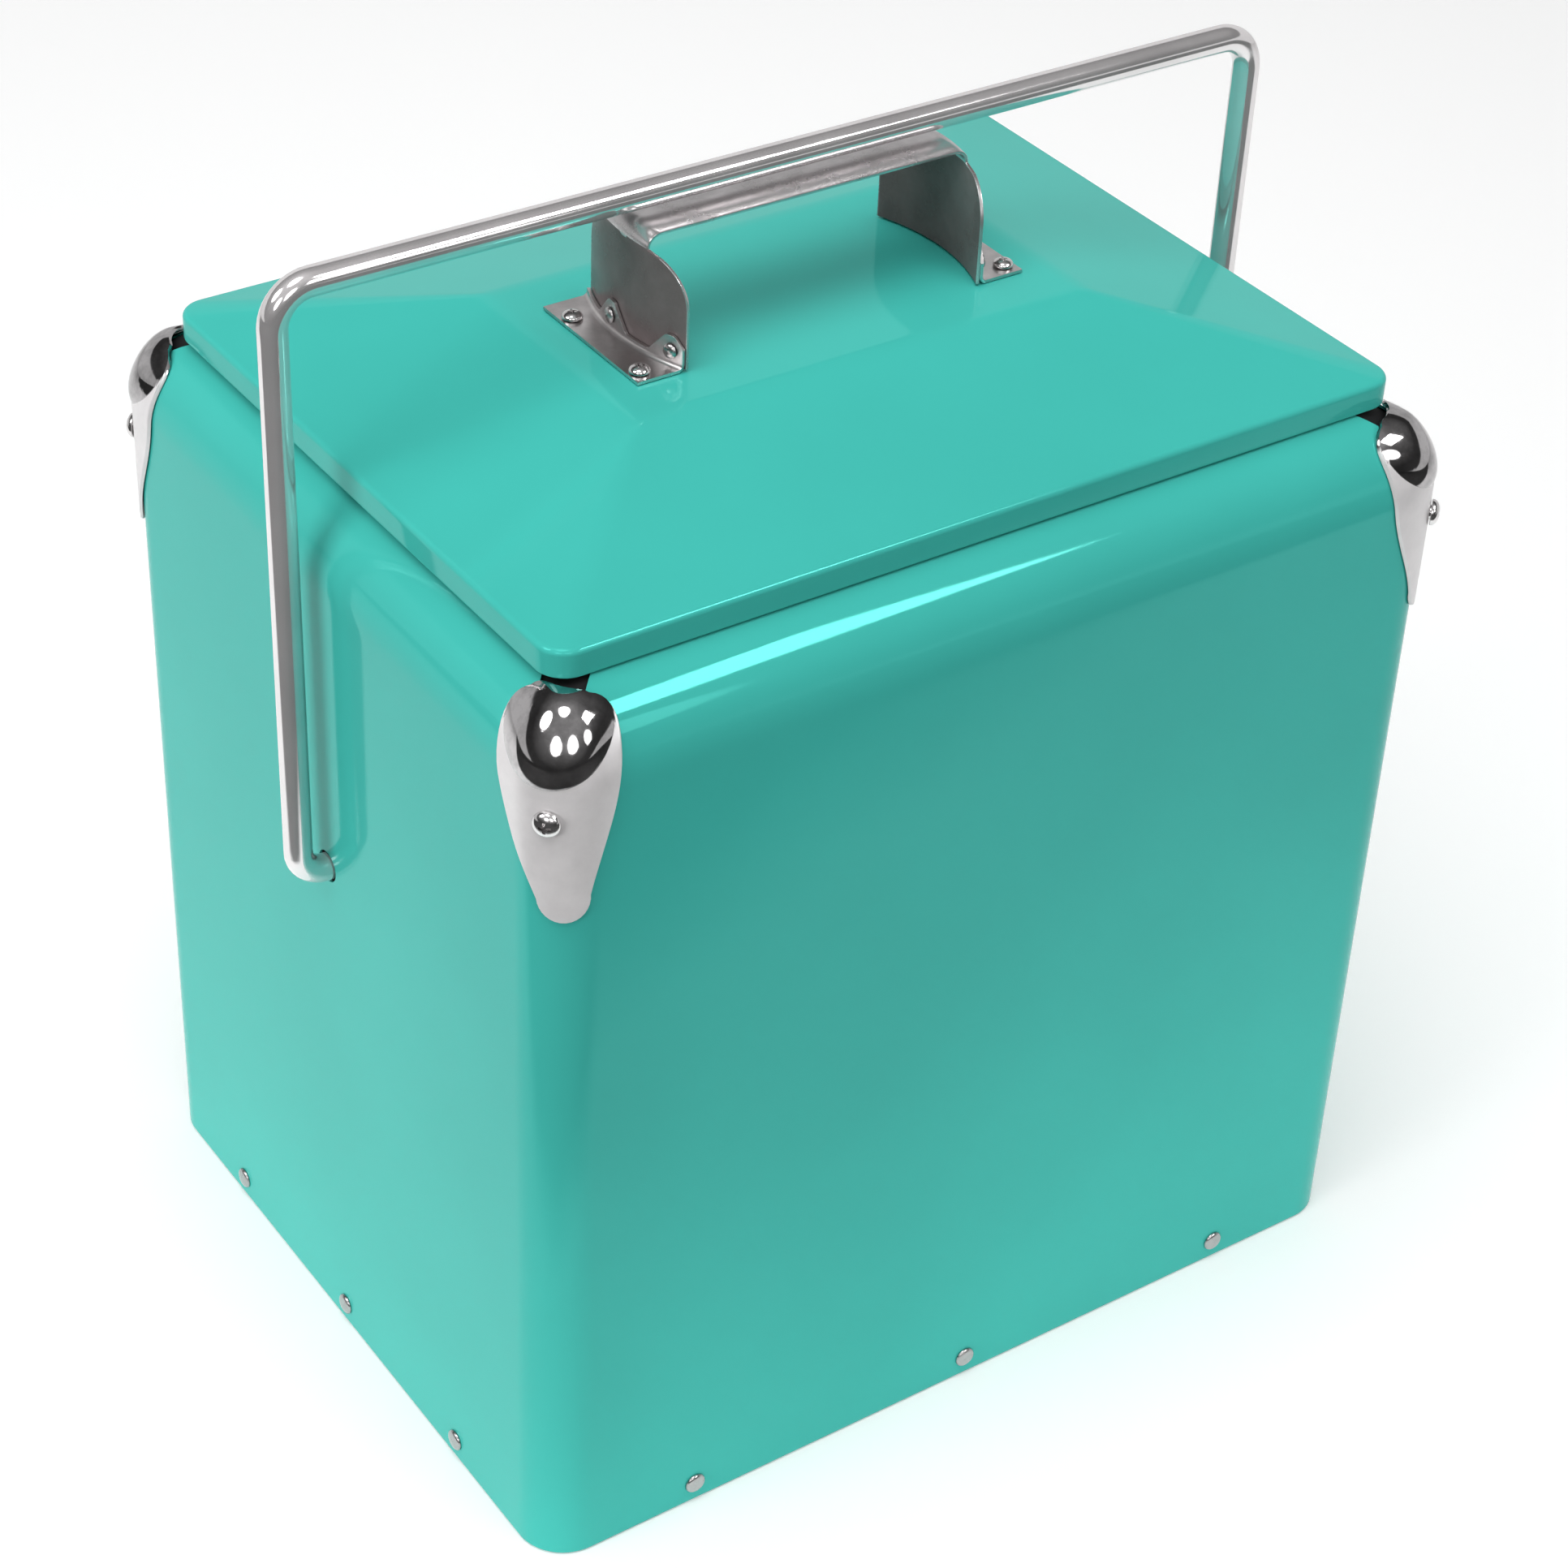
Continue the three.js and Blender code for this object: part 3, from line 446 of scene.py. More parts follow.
def brushed(name, base, low, high, painted_shade=None):
    """Plate with a drawn grain and dark smudges; an attribute can mark a part painted dark and dull as
    painted shade.
    """
    look = Look(name, base, metallic=1.0)
    smudge = look.noise(55, detail=6, rough=0.65)
    tone = look.colours(smudge, ((0.32, shade(base, 0.72)), (0.62, base)))
    # Painted shade: where the attribute marks it, the plate turns dark grey, dull and barely metallic, in
    # place of the dark it would mirror.
    if painted_shade:
        part = look.spread(look.attribute(painted_shade), 0.0, 1.0, start=0.0, end=0.12)
        painted_shade_tone = look.colours(smudge, ((0.32, (0.1, 0.083, 0.083)), (0.62, (0.145, 0.12, 0.12))))
        tone = look.mixed(part, tone, painted_shade_tone)
        look.set("Metallic", look.spread(part, 0.8, 0.05, start=0.0, end=1.0))
        look.set("Specular IOR Level", look.spread(part, 0.5, 0.12, start=0.0, end=1.0))
    look.set("Base Color", tone)
    look.set("Roughness", look.spread(smudge, high, low))
    grain = look.noise(240, detail=4, place=look.stretched((1, 1, 9)))
    return look.bumps((look.noise(80, detail=2), 0.02), (grain, 0.006))


def galvanised():
    base = (0.52, 0.54, 0.56)
    look = Look("galvanised_steel", base, metallic=1.0)
    distance, colour = look.cells(140)
    look.set("Base Color", look.colours(distance, ((0.1, shade(base, 0.85)), (0.6, shade(base, 1.15)))))
    look.set("Roughness", look.spread(look.noise(160), 0.32, 0.55))
    return look.bumps((look.noise(300), 0.01))


def moulded(name, base, low, high, grain_scale, grain_height, gloss=0.5):
    """Moulded plastic or rubber with a fine grain and slight clouding."""
    look = Look(name, base)
    look.fixed(Specular_IOR_Level=gloss)
    cloud = look.noise(18, detail=4)
    look.set("Base Color", look.colours(cloud, ((0.3, shade(base, 0.93)), (0.7, shade(base, 1.05)))))
    look.set("Roughness", look.spread(look.noise(70, detail=4), low, high))
    return look.bumps((look.noise(grain_scale, detail=2), grain_height))


def foamed():
    base = (0.86, 0.78, 0.55)
    look = Look("insulation_foam", base, roughness=0.95)
    distance, _ = look.cells(700)
    look.set("Base Color", look.colours(look.noise(30, detail=6), ((0.3, shade(base, 0.86)), (0.7, base))))
    return look.bumps((distance, 0.25))


def pale_floor():
    """A pale floor that mirrors in the chest as if a dark cloth lay in front of the picture."""
    base = (0.92, 0.92, 0.92)
    look = Look("studio_floor", base, roughness=0.6)
    yaw = math.radians(CAMERA["yaw"])
    towards = look.along((math.sin(yaw), -math.cos(yaw), 0))
    sideways = look.combine("ABSOLUTE", look.along((math.cos(yaw), math.sin(yaw), 0)), 0)
    reach = look.combine("ADD", towards, look.combine("MULTIPLY", sideways, 0.3))
    wander = look.spread(look.noise(2.5), -0.01, 0.01)
    mirrored = look.spread(look.combine("ADD", reach, wander), 1.0, 0.0, 0.33, 0.39)
    seen = look.nodes.new("ShaderNodeLightPath").outputs["Is Camera Ray"]
    pale = look.combine("MAXIMUM", mirrored, seen)
    tone = look.colours(pale, ((0.0, shade(base, 0.02)), (1.0, base)))
    look.set("Base Color", tone)
    look.set("Emission Color", tone)
    look.fixed(Emission_Strength=0.18)
    return look.bumps((look.noise(300), 0.01))


PAINT = teal_paint()
CAP_PLATE = cap_plate()
ROD_PLATE = plated("rod_plate", (0.84, 0.81, 0.815), 0.06, 0.14, scratch=0.003, metallic=0.74)
SCREW_PLATE = plated("screw_plate", (0.74, 0.72, 0.72), 0.12, 0.24, smudge=300)
# The strap's legs carry painted shade, their edges left bright as a painted highlight.
STRAP_PLATE = brushed("strap_plate", (0.58, 0.56, 0.565), 0.16, 0.34, painted_shade="painted_shade_leg")
FOOT_NICKEL = brushed("foot_nickel", (0.66, 0.63, 0.63), 0.24, 0.42)
RIVET_NICKEL = plated("rivet_nickel", (0.5, 0.48, 0.48), 0.2, 0.36, smudge=260)
ZINC = galvanised()
BLACK_PLASTIC = moulded("black_plastic", (0.008, 0.008, 0.009), 0.55, 0.7, 900, 0.03, gloss=0.2)
RUBBER = moulded("gasket_rubber", (0.02, 0.02, 0.021), 0.7, 0.85, 600, 0.02)
TUB_PLASTIC = moulded("liner_plastic", (0.8, 0.83, 0.83), 0.22, 0.38, 260, 0.012)
FOAM = foamed()


# ---- Body ------------------------------------------------------------------------------------

def outer_shell():
    """Painted wrap: straight walls, rolled shoulder, turned lip and a hemmed bottom edge."""
    top = SHELL_HIGH.z
    low = SHELL_LOW.z
    outside = [(0.25, low), (0.06, low + 0.2), (0, low + 0.6), (0, low + 3)]
    outside += [(0, SHOULDER_START - 3), *shoulder(0, top)]
    inside = [(STEEL, low), (STEEL, low + 3), (STEEL, SHOULDER_START - 3), *shoulder(STEEL, top)]
    profile = outside + inside[::-1]
    shell = loft("shell_wrap", [body_ring(inset, z) for inset, z in profile], end_caps=False)
    cutters = []
    for corner in CORNERS:
        sideways = UP.cross(corner["outward"]) * corner["across"]
        height = RELIEF_FOOT + RELIEF[2] / 2
        middle = corner["centre"] - 2 * corner["outward"] + sideways + UP * height
        spin = math.atan2(corner["outward"].y, corner["outward"].x)
        cutters.append(block("relief", RELIEF, middle, UP, spin))
    for side in (-1, 1):
        hole = [(0, -2), (ROD_HOLE_RADIUS, -2), (ROD_HOLE_RADIUS, 2), (0, 2)]
        pivot = Vector((side * SHELL_HIGH.x, 0, PIVOT_Z))
        cutters.append(turned("hole", hole, pivot, Vector((side, 0, 0))))
    cut(shell, cutters)
    smooth(shell, 30)
    return use(shell, "cooler_body", ["outer_shell"], PAINT)


def bottom_pan():
    """Folded tray with rounded lower corners and a shallow pressed field."""
    inset = SHELL_HIGH.x - PAN_HIGH.x
    radius = 2
    rings = [body_ring(22, 0.5), body_ring(19, 0.4), body_ring(17, 0.05), body_ring(15.3, 0)]
    for step in range(7):
        lean = step / 6 * math.pi / 2
        rings.append(body_ring(inset + radius * (1 - math.sin(lean)), radius * (1 - math.cos(lean))))
    rings.append(body_ring(inset, PAN_HIGH.z))
    rings.append(body_ring(inset + STEEL, PAN_HIGH.z))
    rings.append(body_ring(inset + STEEL, radius + STEEL))
    rings.append(body_ring(inset + STEEL + radius, STEEL + 0.05))
    pan = smooth(loft("base_tray", rings), 30)
    return use(pan, "cooler_body", ["bottom_pan"], ZINC)


def liner_tub():
    """Moulded tub with rounded floor edges and a rolled lip."""
    wall = 2.2
    draft = 4
    floor_radius = 12
    half_x, half_y, radius = MOUTH[0] - 0.6, MOUTH[1] - 0.6, MOUTH[2]
    low, top = TUB_LOW.z, TUB_HIGH.z
    height = top - low

    def ring(extra, z):
        inward = draft * (1 - (z - low) / height) - extra
        return rounded_ring(half_x - inward, half_y - inward, radius - 2, z)

    rings = []
    for extra, floor in ((0, low), (-wall, low + wall)):
        part = []
        for step in range(7):
            lean = step / 6 * math.pi / 2
            drop = floor_radius * (1 - math.sin(lean))
            part.append(ring(extra - floor_radius * (1 - math.cos(lean)), floor + drop))
        rings.append(part[::-1] if extra == 0 else part)
    lip = TUB_HIGH.x - half_x
    edge = [ring(0, top - wall), ring(lip - 0.5, top - wall), ring(lip, top - wall / 2)]
    edge += [ring(lip - 0.5, top), ring(-wall + 1.5, top)]
    edge += [ring(-wall + 0.4, top - 0.4), ring(-wall, top - 1.5)]
    tub = smooth(loft("inner_tub", rings[0] + edge + rings[1]), 32)
    return use(tub, "cooler_body", ["liner_tub"], TUB_PLASTIC)


def rim_collar():
    """Black moulding behind the shoulder with a rounded edge round the mouth."""
    skin, thick = STEEL + GAP, 3
    top = COLLAR_HIGH.z
    outer = [body_ring(i, z) for i, z in shoulder(skin, top) if z > COLLAR_LOW.z + 0.4]
    inner = [body_ring(i, z) for i, z in shoulder(skin + thick, top - 2.6) if z > COLLAR_LOW.z + 0.4]
    inset, _ = next(p for p in shoulder(skin, top) if p[1] > COLLAR_LOW.z)
    outer.insert(0, body_ring(inset, COLLAR_LOW.z))
    inner.insert(0, body_ring(inset + thick, COLLAR_LOW.z))
    half_x, half_y, radius = MOUTH
    edge = [rounded_ring(half_x + 1, half_y + 1, radius, top)]
    edge += [rounded_ring(half_x + 0.3, half_y + 0.3, radius, top - 0.3)]
    edge += [rounded_ring(half_x, half_y, radius, top - 1), rounded_ring(half_x, half_y, radius, top - 2.4)]
    collar = smooth(loft("mouth_collar", outer + edge + inner[::-1], end_caps=False), 35)
    return use(collar, "cooler_body", ["rim_collar"], BLACK_PLASTIC)


def base_rivets():
    """Domed rivets along the bottom edge, three to a wall."""
    profile = [(0, -2.4), (1.6, -2.4), (1.6, 0.15), (3.3, 0.15), (3.5, 0.25), (3.46, 0.6)]
    for step in range(1, 8):
        lean = step / 8 * math.pi / 2
        profile.append((3.4 * math.cos(lean), 0.6 + 1.1 * math.sin(lean)))
    profile.append((0.05, 1.7))
    for wall in ("front", "back", "left", "right"):
        for place in (1, 2, 3):
            node = f"base_rivet_{wall}_{place}"
            low, high = span(node)
            centre = (low + high) / 2
            if wall in ("front", "back"):
                outward = Vector((0, math.copysign(1, centre.y), 0))
                origin = Vector((centre.x, outward.y * SHELL_HIGH.y, centre.z))
            else:
                outward = Vector((math.copysign(1, centre.x), 0, 0))
                origin = Vector((outward.x * SHELL_HIGH.x, centre.y, centre.z))
            rivet = smooth(turned(f"rivet_{wall}_{place}", profile, origin, outward), 40, weighted=False)
            use(rivet, "cooler_body", [node], RIVET_NICKEL)


# ---- Corners ---------------------------------------------------------------------------------

def corner_list():
    """The four top corners; one cap was fitted at a slight tilt and one a little low."""
    true_fit = {"tilt": 0, "across": 0, "up": 0, "screw_across": 0, "screw_up": 0}
    tilted_fit = {"tilt": 6, "across": -2, "up": 0, "screw_across": -1, "screw_up": 1}
    low_fit = {"tilt": 0, "across": 0, "up": -3, "screw_across": 0, "screw_up": -3}
    corners = []
    for name, side_x, side_y, quarter, fit in (
        ("back_right", 1, 1, 0, true_fit),
        ("back_left", -1, 1, 1, low_fit),
        ("front_left", -1, -1, 2, tilted_fit),
        ("front_right", 1, -1, 3, true_fit),
    ):
        half_x, half_y = SHELL_HIGH.x - CORNER_RADIUS, SHELL_HIGH.y - CORNER_RADIUS
        centre = Vector((side_x * half_x, side_y * half_y, 0))
        outward = Vector((side_x, side_y, 0)).normalized()
        screw_way = Quaternion(UP, fit["screw_across"] / CORNER_RADIUS) @ outward
        corners.append({
            **fit,
            "name": name,
            "quarter": quarter,
            "centre": centre,
            "outward": outward,
            "screw_way": screw_way,
            "screw_point": centre + CORNER_RADIUS * screw_way + (CAP_SCREW_Z + fit["screw_up"]) * UP,
        })
    return corners


CORNERS = corner_list()
PIVOT_Z = BAIL_LOW.z + ROD_RADIUS


def corner_skin_point(across, along, offset):
    """Point near one corner: across runs round it, along runs up the skin from the shoulder."""
    lean = max(along, 0) / SHOULDER_RADIUS
    reach = SHOULDER_RADIUS + offset
    inset = SHOULDER_RADIUS - reach * math.cos(lean)
    radius = max(CORNER_RADIUS - inset, SHARPEST_CORNER)
    turn = max(-math.pi / 4, min(math.pi / 4, across / radius))
    straight = across - turn * radius
    angle = math.pi / 4 + turn
    middle = CORNER_RADIUS - inset - radius
    return Vector((
        middle + radius * math.cos(angle) - straight * math.sin(angle),
        middle + radius * math.sin(angle) + straight * math.cos(angle),
        SHOULDER_START + min(along, 0) + reach * math.sin(lean),
    ))


def bezier(a, b, c, d, steps):
    """Points of a cubic curve after its first."""
    points = []
    for step in range(1, steps + 1):
        t = step / steps
        s = 1 - t
        points.append(tuple(
            s ** 3 * a[k] + 3 * s * s * t * b[k] + 3 * s * t * t * c[k] + t ** 3 * d[k]
            for k in (0, 1)
        ))
    return points


DOME = {"along": 17, "half_width": 18.8, "half_height": 13.4, "rise": 1.7}


def cap_outline():
    """Teardrop outline of a cap, top middle first, as (across, along) pairs."""
    top_half, top, top_middle = 10, 27, 29.8
    wide, wide_along = 20.8, 8
    tip, tip_along = 7.6, -32.6
    left = [(0.0, top_middle)]
    crown = ((-top_half * 0.43, top_middle), (-top_half * 0.77, top_middle - 0.9))
    left += bezier(left[-1], *crown, (-top_half, top), 6)
    left += bezier(left[-1], (-wide * 0.86, top - 3), (-wide, wide_along + 10), (-wide, wide_along), 10)
    left += bezier(left[-1], (-wide, -5), (-tip - 4, -20), (-tip, tip_along), 14)
    for step in range(1, 9):
        angle = math.pi + step / 8 * math.pi / 2
        left.append((tip * math.cos(angle), tip_along + tip * math.sin(angle)))
    right = [(-x, y) for x, y in left[1:-1]]
    return left + right[::-1]


def dome_spread(across, along):
    """0 in the middle of the stamped dome and 1 at its foot."""
    return math.hypot(across / DOME["half_width"], (along - DOME["along"]) / DOME["half_height"])


def dome_rise(across, along):
    """Height of the dome above the flat border: a broad crown with a crease at its foot."""
    return DOME["rise"] * max(1 - dome_spread(across, along) ** 4, 0)


def cap_shares(edge):
    """Where rings cross the way from the dome's middle to a point of the outline."""
    foot = min(1 / dome_spread(*edge), 0.94)
    on_dome = (0.03, 0.12, 0.24, 0.36, 0.48, 0.6, 0.7, 0.79, 0.86, 0.92, 0.96, 0.985, 1)
    on_border = (0.02, 0.2, 0.4, 0.6, 0.8, 0.95)
    return [share * foot for share in on_dome] + [foot + share * (1 - foot) for share in on_border]


def corner_caps():
    """Stamped caps: a flat border and tongue, a raised dome and a rounded cut edge."""
    outline = cap_outline()
    shares = [cap_shares(edge) for edge in outline]
    outer = PLATED + CAP_GAP
    layers = [(ring, outer) for ring in range(len(shares[0]))]
    layers += [("rim", outer - 0.05), ("edge", outer - 0.4), ("edge", CAP_GAP + 0.1)]
    layers += [(ring, CAP_GAP) for ring in (-1, -3, -6, -8, 5, 2, 0)]
    past_rings = {"rim": 0.995, "edge": 1.0}

    def placed_point(corner, across, along, offset):
        """Point of the skin under a spot of the cap, as the cap was fitted."""
        up = along - DOME["along"]
        tilt = math.radians(corner["tilt"])
        turned_across = across * math.cos(tilt) - up * math.sin(tilt) + corner["across"]
        turned_along = DOME["along"] + across * math.sin(tilt) + up * math.cos(tilt) + corner["up"]
        return corner_skin_point(turned_across, turned_along, offset + dome_rise(across, along))

    for corner in CORNERS:
        rotate = Quaternion((0, 0, 1), corner["quarter"] * math.pi / 2)
        rings = []
        domes = []
        for layer, offset in layers:
            ring = []
            for edge, edge_shares in zip(outline, shares):
                share = past_rings[layer] if layer in past_rings else edge_shares[layer]
                across = edge[0] * share
                along = DOME["along"] + (edge[1] - DOME["along"]) * share
                domes.append(1.0 if dome_spread(across, along) < 0.995 else 0.0)
                point = placed_point(corner, across, along, offset)
                ring.append(rotate @ point + corner["centre"])
            rings.append(ring)
        cap = loft(f"cap_{corner['name']}", rings)
        attribute = cap.data.attributes.new("dome", "FLOAT", "POINT")
        attribute.data.foreach_set("value", domes)
        smooth(cap, 32, weighted=False)
        use(cap, "cooler_body", [f"corner_cap_{corner['name']}"], CAP_PLATE)


def cross_screw(name, head, rise, shank, length, origin, direction, seat, spin=0.4):
    """Pan-head screw: rounded head with a tapered cross recess."""
    profile = [(0, -length), (shank, -length + shank), (shank, seat)]
    profile += [(head - 0.2, seat), (head, seat + 0.2)]
    for step in range(1, 8):
        lean = step / 8 * math.pi / 2
        profile.append((head * math.cos(lean * 0.97), seat + 0.3 + (rise - 0.3) * math.sin(lean)))
    profile.append((head * 0.06, seat + rise))
    screw = turned(name, profile, origin, direction)
    top = origin + direction * (seat + rise)
    arm = (head * 1.2, head * 0.3, rise * 1.1)
    cutters = [block("recess", arm, top, direction, spin + k * math.pi / 2, taper=0.55) for k in (0, 1)]
    cut(screw, cutters)
    return smooth(screw, 40, weighted=False)


def cap_screws():
    for index, corner in enumerate(CORNERS):
        name = corner["name"]
        point, way = corner["screw_point"], corner["screw_way"]
        seat = PLATED + CAP_GAP + GAP
        screw = cross_screw(f"cap_fixing_{name}", 4.1, 2.8, 2.3, 15, point, way, seat, 0.3 + index)
        use(screw, "cooler_body", [f"cap_screw_{name}"], SCREW_PLATE)


# ---- Bail ------------------------------------------------------------------------------------

def bail_handle():
    """Bent rod with chamfered hidden ends."""
    top_bend, end_bend = 12, 9
    shift = (BAIL_LOW.x + BAIL_HIGH.x) / 2
    half = (BAIL_HIGH.x - BAIL_LOW.x) / 2 - ROD_RADIUS
    bar_z = BAIL_HIGH.z - ROD_RADIUS
    inner_end = SHELL_HIGH.x - 19
    quarter = math.pi / 2

    def arc(centre, radius, start, end, steps=12):
        points = []
        for step in range(steps + 1):
            angle = start + (end - start) * step / steps
            points.append((centre[0] + radius * math.cos(angle), centre[1] + radius * math.sin(angle)))
        return points

    right = [(inner_end, PIVOT_Z), (inner_end + 1, PIVOT_Z), (half - end_bend - 1, PIVOT_Z)]
    right += arc((half - end_bend, PIVOT_Z + end_bend), end_bend, -quarter, 0)
    right += [(half, PIVOT_Z + end_bend + 3), (half, bar_z - top_bend - 3)]
    right += arc((half - top_bend, bar_z - top_bend), top_bend, 0, quarter)
    right += [(half - top_bend - 3, bar_z)]
    path = right + [(-x, z) for x, z in reversed(right)]
    across = Vector((0, 1, 0))
    sides = 32
    rings = []
    for index, (x, z) in enumerate(path):
        before = path[max(index - 1, 0)]
        after = path[min(index + 1, len(path) - 1)]
        here = Vector((x + shift, 0, z))
        arriving = Vector((x - before[0], 0, z - before[1])).normalized()
        leaving = Vector((after[0] - x, 0, after[1] - z)).normalized()
        way = (arriving + leaving).normalized()
        sideways = across.cross(way)
        radius = ROD_RADIUS - (0.6 if index in (0, len(path) - 1) else 0)
        ring = []
        for side in range(sides):
            angle = side / sides * 2 * math.pi
            ring.append(here + radius * (math.cos(angle) * sideways + math.sin(angle) * across))
        rings.append(ring)
    bail = smooth(loft("bail_rod", rings), 50, weighted=False)
    return use(bail, "bail", ["bail_handle"], ROD_PLATE)


# ---- Lid -------------------------------------------------------------------------------------

def lid_rings(depth, bottom):
    """Rings from the middle of the panel out and down to the rim, at a depth below the skin."""
    half_x, half_y = LID_HIGH.x - depth, LID_HIGH.y - depth
    top = LID_HIGH.z - depth
    edge = 2.0
    crease = LID_CREASE - depth
    rim = (half_x - edge, half_y - edge, LID_RADIUS - edge)
    climb = top - crease
    blend = 0.05

    def on_slope(share):
        """Ring at a share of the way from the rim crease to the panel's edge."""
        sizes = [rim[k] + (LID_PANEL[k] - rim[k]) * min(share, 1) for k in range(3)]
        if share > 1:
            pull = [(rim[k] - LID_PANEL[k]) * (share - 1) for k in (0, 1)]
            sizes = [LID_PANEL[0] - pull[0], LID_PANEL[1] - pull[1], LID_PANEL[2]]
        z = crease + climb * share
        if share > 1 - blend:
            z = top - climb * max(blend - (share - 1), 0) ** 2 / (4 * blend)
        return rounded_ring(*sizes, z)

    shares = [1 + blend * k / 4 for k in range(4, -5, -1)] + [0.8, 0.6, 0.4, 0.2, 0.05, 0.02]
    rings = [on_slope(share) for share in shares]
    slope = math.atan2(climb, rim[1] - LID_PANEL[1])
    start = math.pi / 2 - slope
    for step in range(9):
        lean = start * (1 - step / 8)
        inset = edge * (1 - math.cos(lean))
        z = crease - edge + edge * math.sin(lean)
        rings.append(rounded_ring(half_x - inset, half_y - inset, LID_RADIUS - inset, z))
    rings.append(rounded_ring(half_x, half_y, LID_RADIUS, bottom + 0.8))
    return rings


def lid_shell():
    """Painted hip-roof skin with soft pressed creases and a rounded, turned-down rim."""
    bottom = LID_LOW.z
    outside = lid_rings(0, bottom)
    inside = lid_rings(STEEL, bottom)
    half_x, half_y = LID_HIGH.x, LID_HIGH.y
    hem = [
        rounded_ring(half_x - 0.12, half_y - 0.12, LID_RADIUS, bottom + 0.2),
        rounded_ring(half_x - 0.4, half_y - 0.4, LID_RADIUS, bottom),
        rounded_ring(half_x - 0.7, half_y - 0.7, LID_RADIUS, bottom + 0.2),
    ]
    lid = smooth(loft("lid_skin", outside + hem + inside[::-1]), 40)
    return use(lid, "lid", ["lid_shell"], PAINT)


def lid_pan():
    """Moulded underside: plug with rounded edges, pressed centre and a flange."""
    plug_x, plug_y, plug_radius = 126.5, 94.5, 18
    low, top = LID_PAN_LOW.z, LID_PAN_HIGH.z
    flange_x, flange_y = LID_PAN_HIGH.x, LID_PAN_HIGH.y
    flange_bottom = top - 2
    wall = 2
    rings = [rounded_ring(plug_x - 24, plug_y - 24, 8, low + 1.2)]
    rings.append(rounded_ring(plug_x - 21, plug_y - 21, 9, low + 1))
    rings.append(rounded_ring(plug_x - 18, plug_y - 18, 11, low + 0.1))
    rings.append(rounded_ring(plug_x - 15, plug_y - 15, 12, low))
    for step in range(6):
        lean = step / 5 * math.pi / 2
        inset = 1.5 + 3 * (1 - math.sin(lean))
        z = low + 3 * (1 - math.cos(lean))
        rings.append(rounded_ring(plug_x - inset, plug_y - inset, plug_radius - 2, z))
    rings.append(rounded_ring(plug_x, plug_y, plug_radius, flange_bottom))
    rings.append(rounded_ring(flange_x - 0.5, flange_y - 0.5, LID_RADIUS - 1.7, flange_bottom))
    rings.append(rounded_ring(flange_x, flange_y, LID_RADIUS - 1.2, flange_bottom + 0.5))
    rings.append(rounded_ring(flange_x, flange_y, LID_RADIUS - 1.2, top))
    rings.append(rounded_ring(plug_x - wall, plug_y - wall, plug_radius - wall, top))
    rings.append(rounded_ring(plug_x - wall - 1.5, plug_y - wall - 1.5, plug_radius - wall, low + wall))
    pan = smooth(loft("lid_underside", rings), 35)
    return use(pan, "lid", ["lid_pan"], TUB_PLASTIC)


def lid_gasket():
    """Seating ring with two soft ribs underneath."""
    low, top = GASKET_LOW.z, GASKET_HIGH.z
    inner = MOUTH[0] + 0.6
    outer = GASKET_HIGH.x
    difference = MOUTH[0] - MOUTH[1]

    def ring(half_x, z):
        return rounded_ring(half_x, half_x - difference, 14 + (half_x - inner), z)

    rings = [ring(outer, top), ring(inner, top)]
    steps = 16
    for step in range(steps + 1):
        share = step / steps
        rib = abs(math.sin(share * 2 * math.pi)) ** 0.7
        rings.append(ring(inner + (outer - inner) * share, low + 0.9 * (1 - rib)))
    gasket = smooth(loft("seating_ring", rings, end_caps=False), 45)
    return use(gasket, "lid", ["lid_gasket"], RUBBER)


# ---- Strap handle ----------------------------------------------------------------------------

LEG_X = STRAP_HIGH.x - PLATED / 2
LEG_HALF = 26
GRIP_HALF = 11
STRAP_BEND_START = STRAP_HIGH.z - PLATED / 2 - STRAP_BEND


def leg_x(y):
    """Where a leg's middle surface stands; the leg bows outwards in plan."""
    return LEG_X - y * y / (2 * LEG_BOW)


def shoulder_climb(z):
    """0 up to where a leg starts to narrow and 1 where it meets the bend."""
    return max((z - (STRAP_BEND_START - STRAP_SHOULDER)) / STRAP_SHOULDER, 0)


def leg_half_width(z):
    """Half width of a leg at a height; its rounded shoulders narrow to the grip."""
    climb = shoulder_climb(z)
    return GRIP_HALF + (LEG_HALF - GRIP_HALF) * math.sqrt(max(1 - climb * climb, 0))


def strap_point(u, v):
    """Middle surface of the strap: u from the left foot to the right, v front to back."""
    side = -1 if u < 0.5 else 1
    travel = 1 - abs(2 * u - 1)
    leg_share, bend_share = 0.55, 0.8
    across = 2 * v - 1
    if travel <= leg_share:
        z = STRAP_LOW.z + (STRAP_BEND_START - STRAP_LOW.z) * travel / leg_share
        y = across * leg_half_width(z)
        return Vector((side * leg_x(y), y, z))
    y = across * GRIP_HALF
    turn = min((travel - leg_share) / (bend_share - leg_share), 1) * math.pi / 2
    bow = math.cos(turn) * (LEG_X - leg_x(y))
    bend_x = LEG_X - STRAP_BEND + STRAP_BEND * math.cos(turn) - bow
    run = max((travel - bend_share) / (1 - bend_share), 0)
    crown = 0.9 * math.sin(turn) * across * across
    z = STRAP_BEND_START + STRAP_BEND * math.sin(turn) - crown
    return Vector((side * bend_x * (1 - run), y, z))


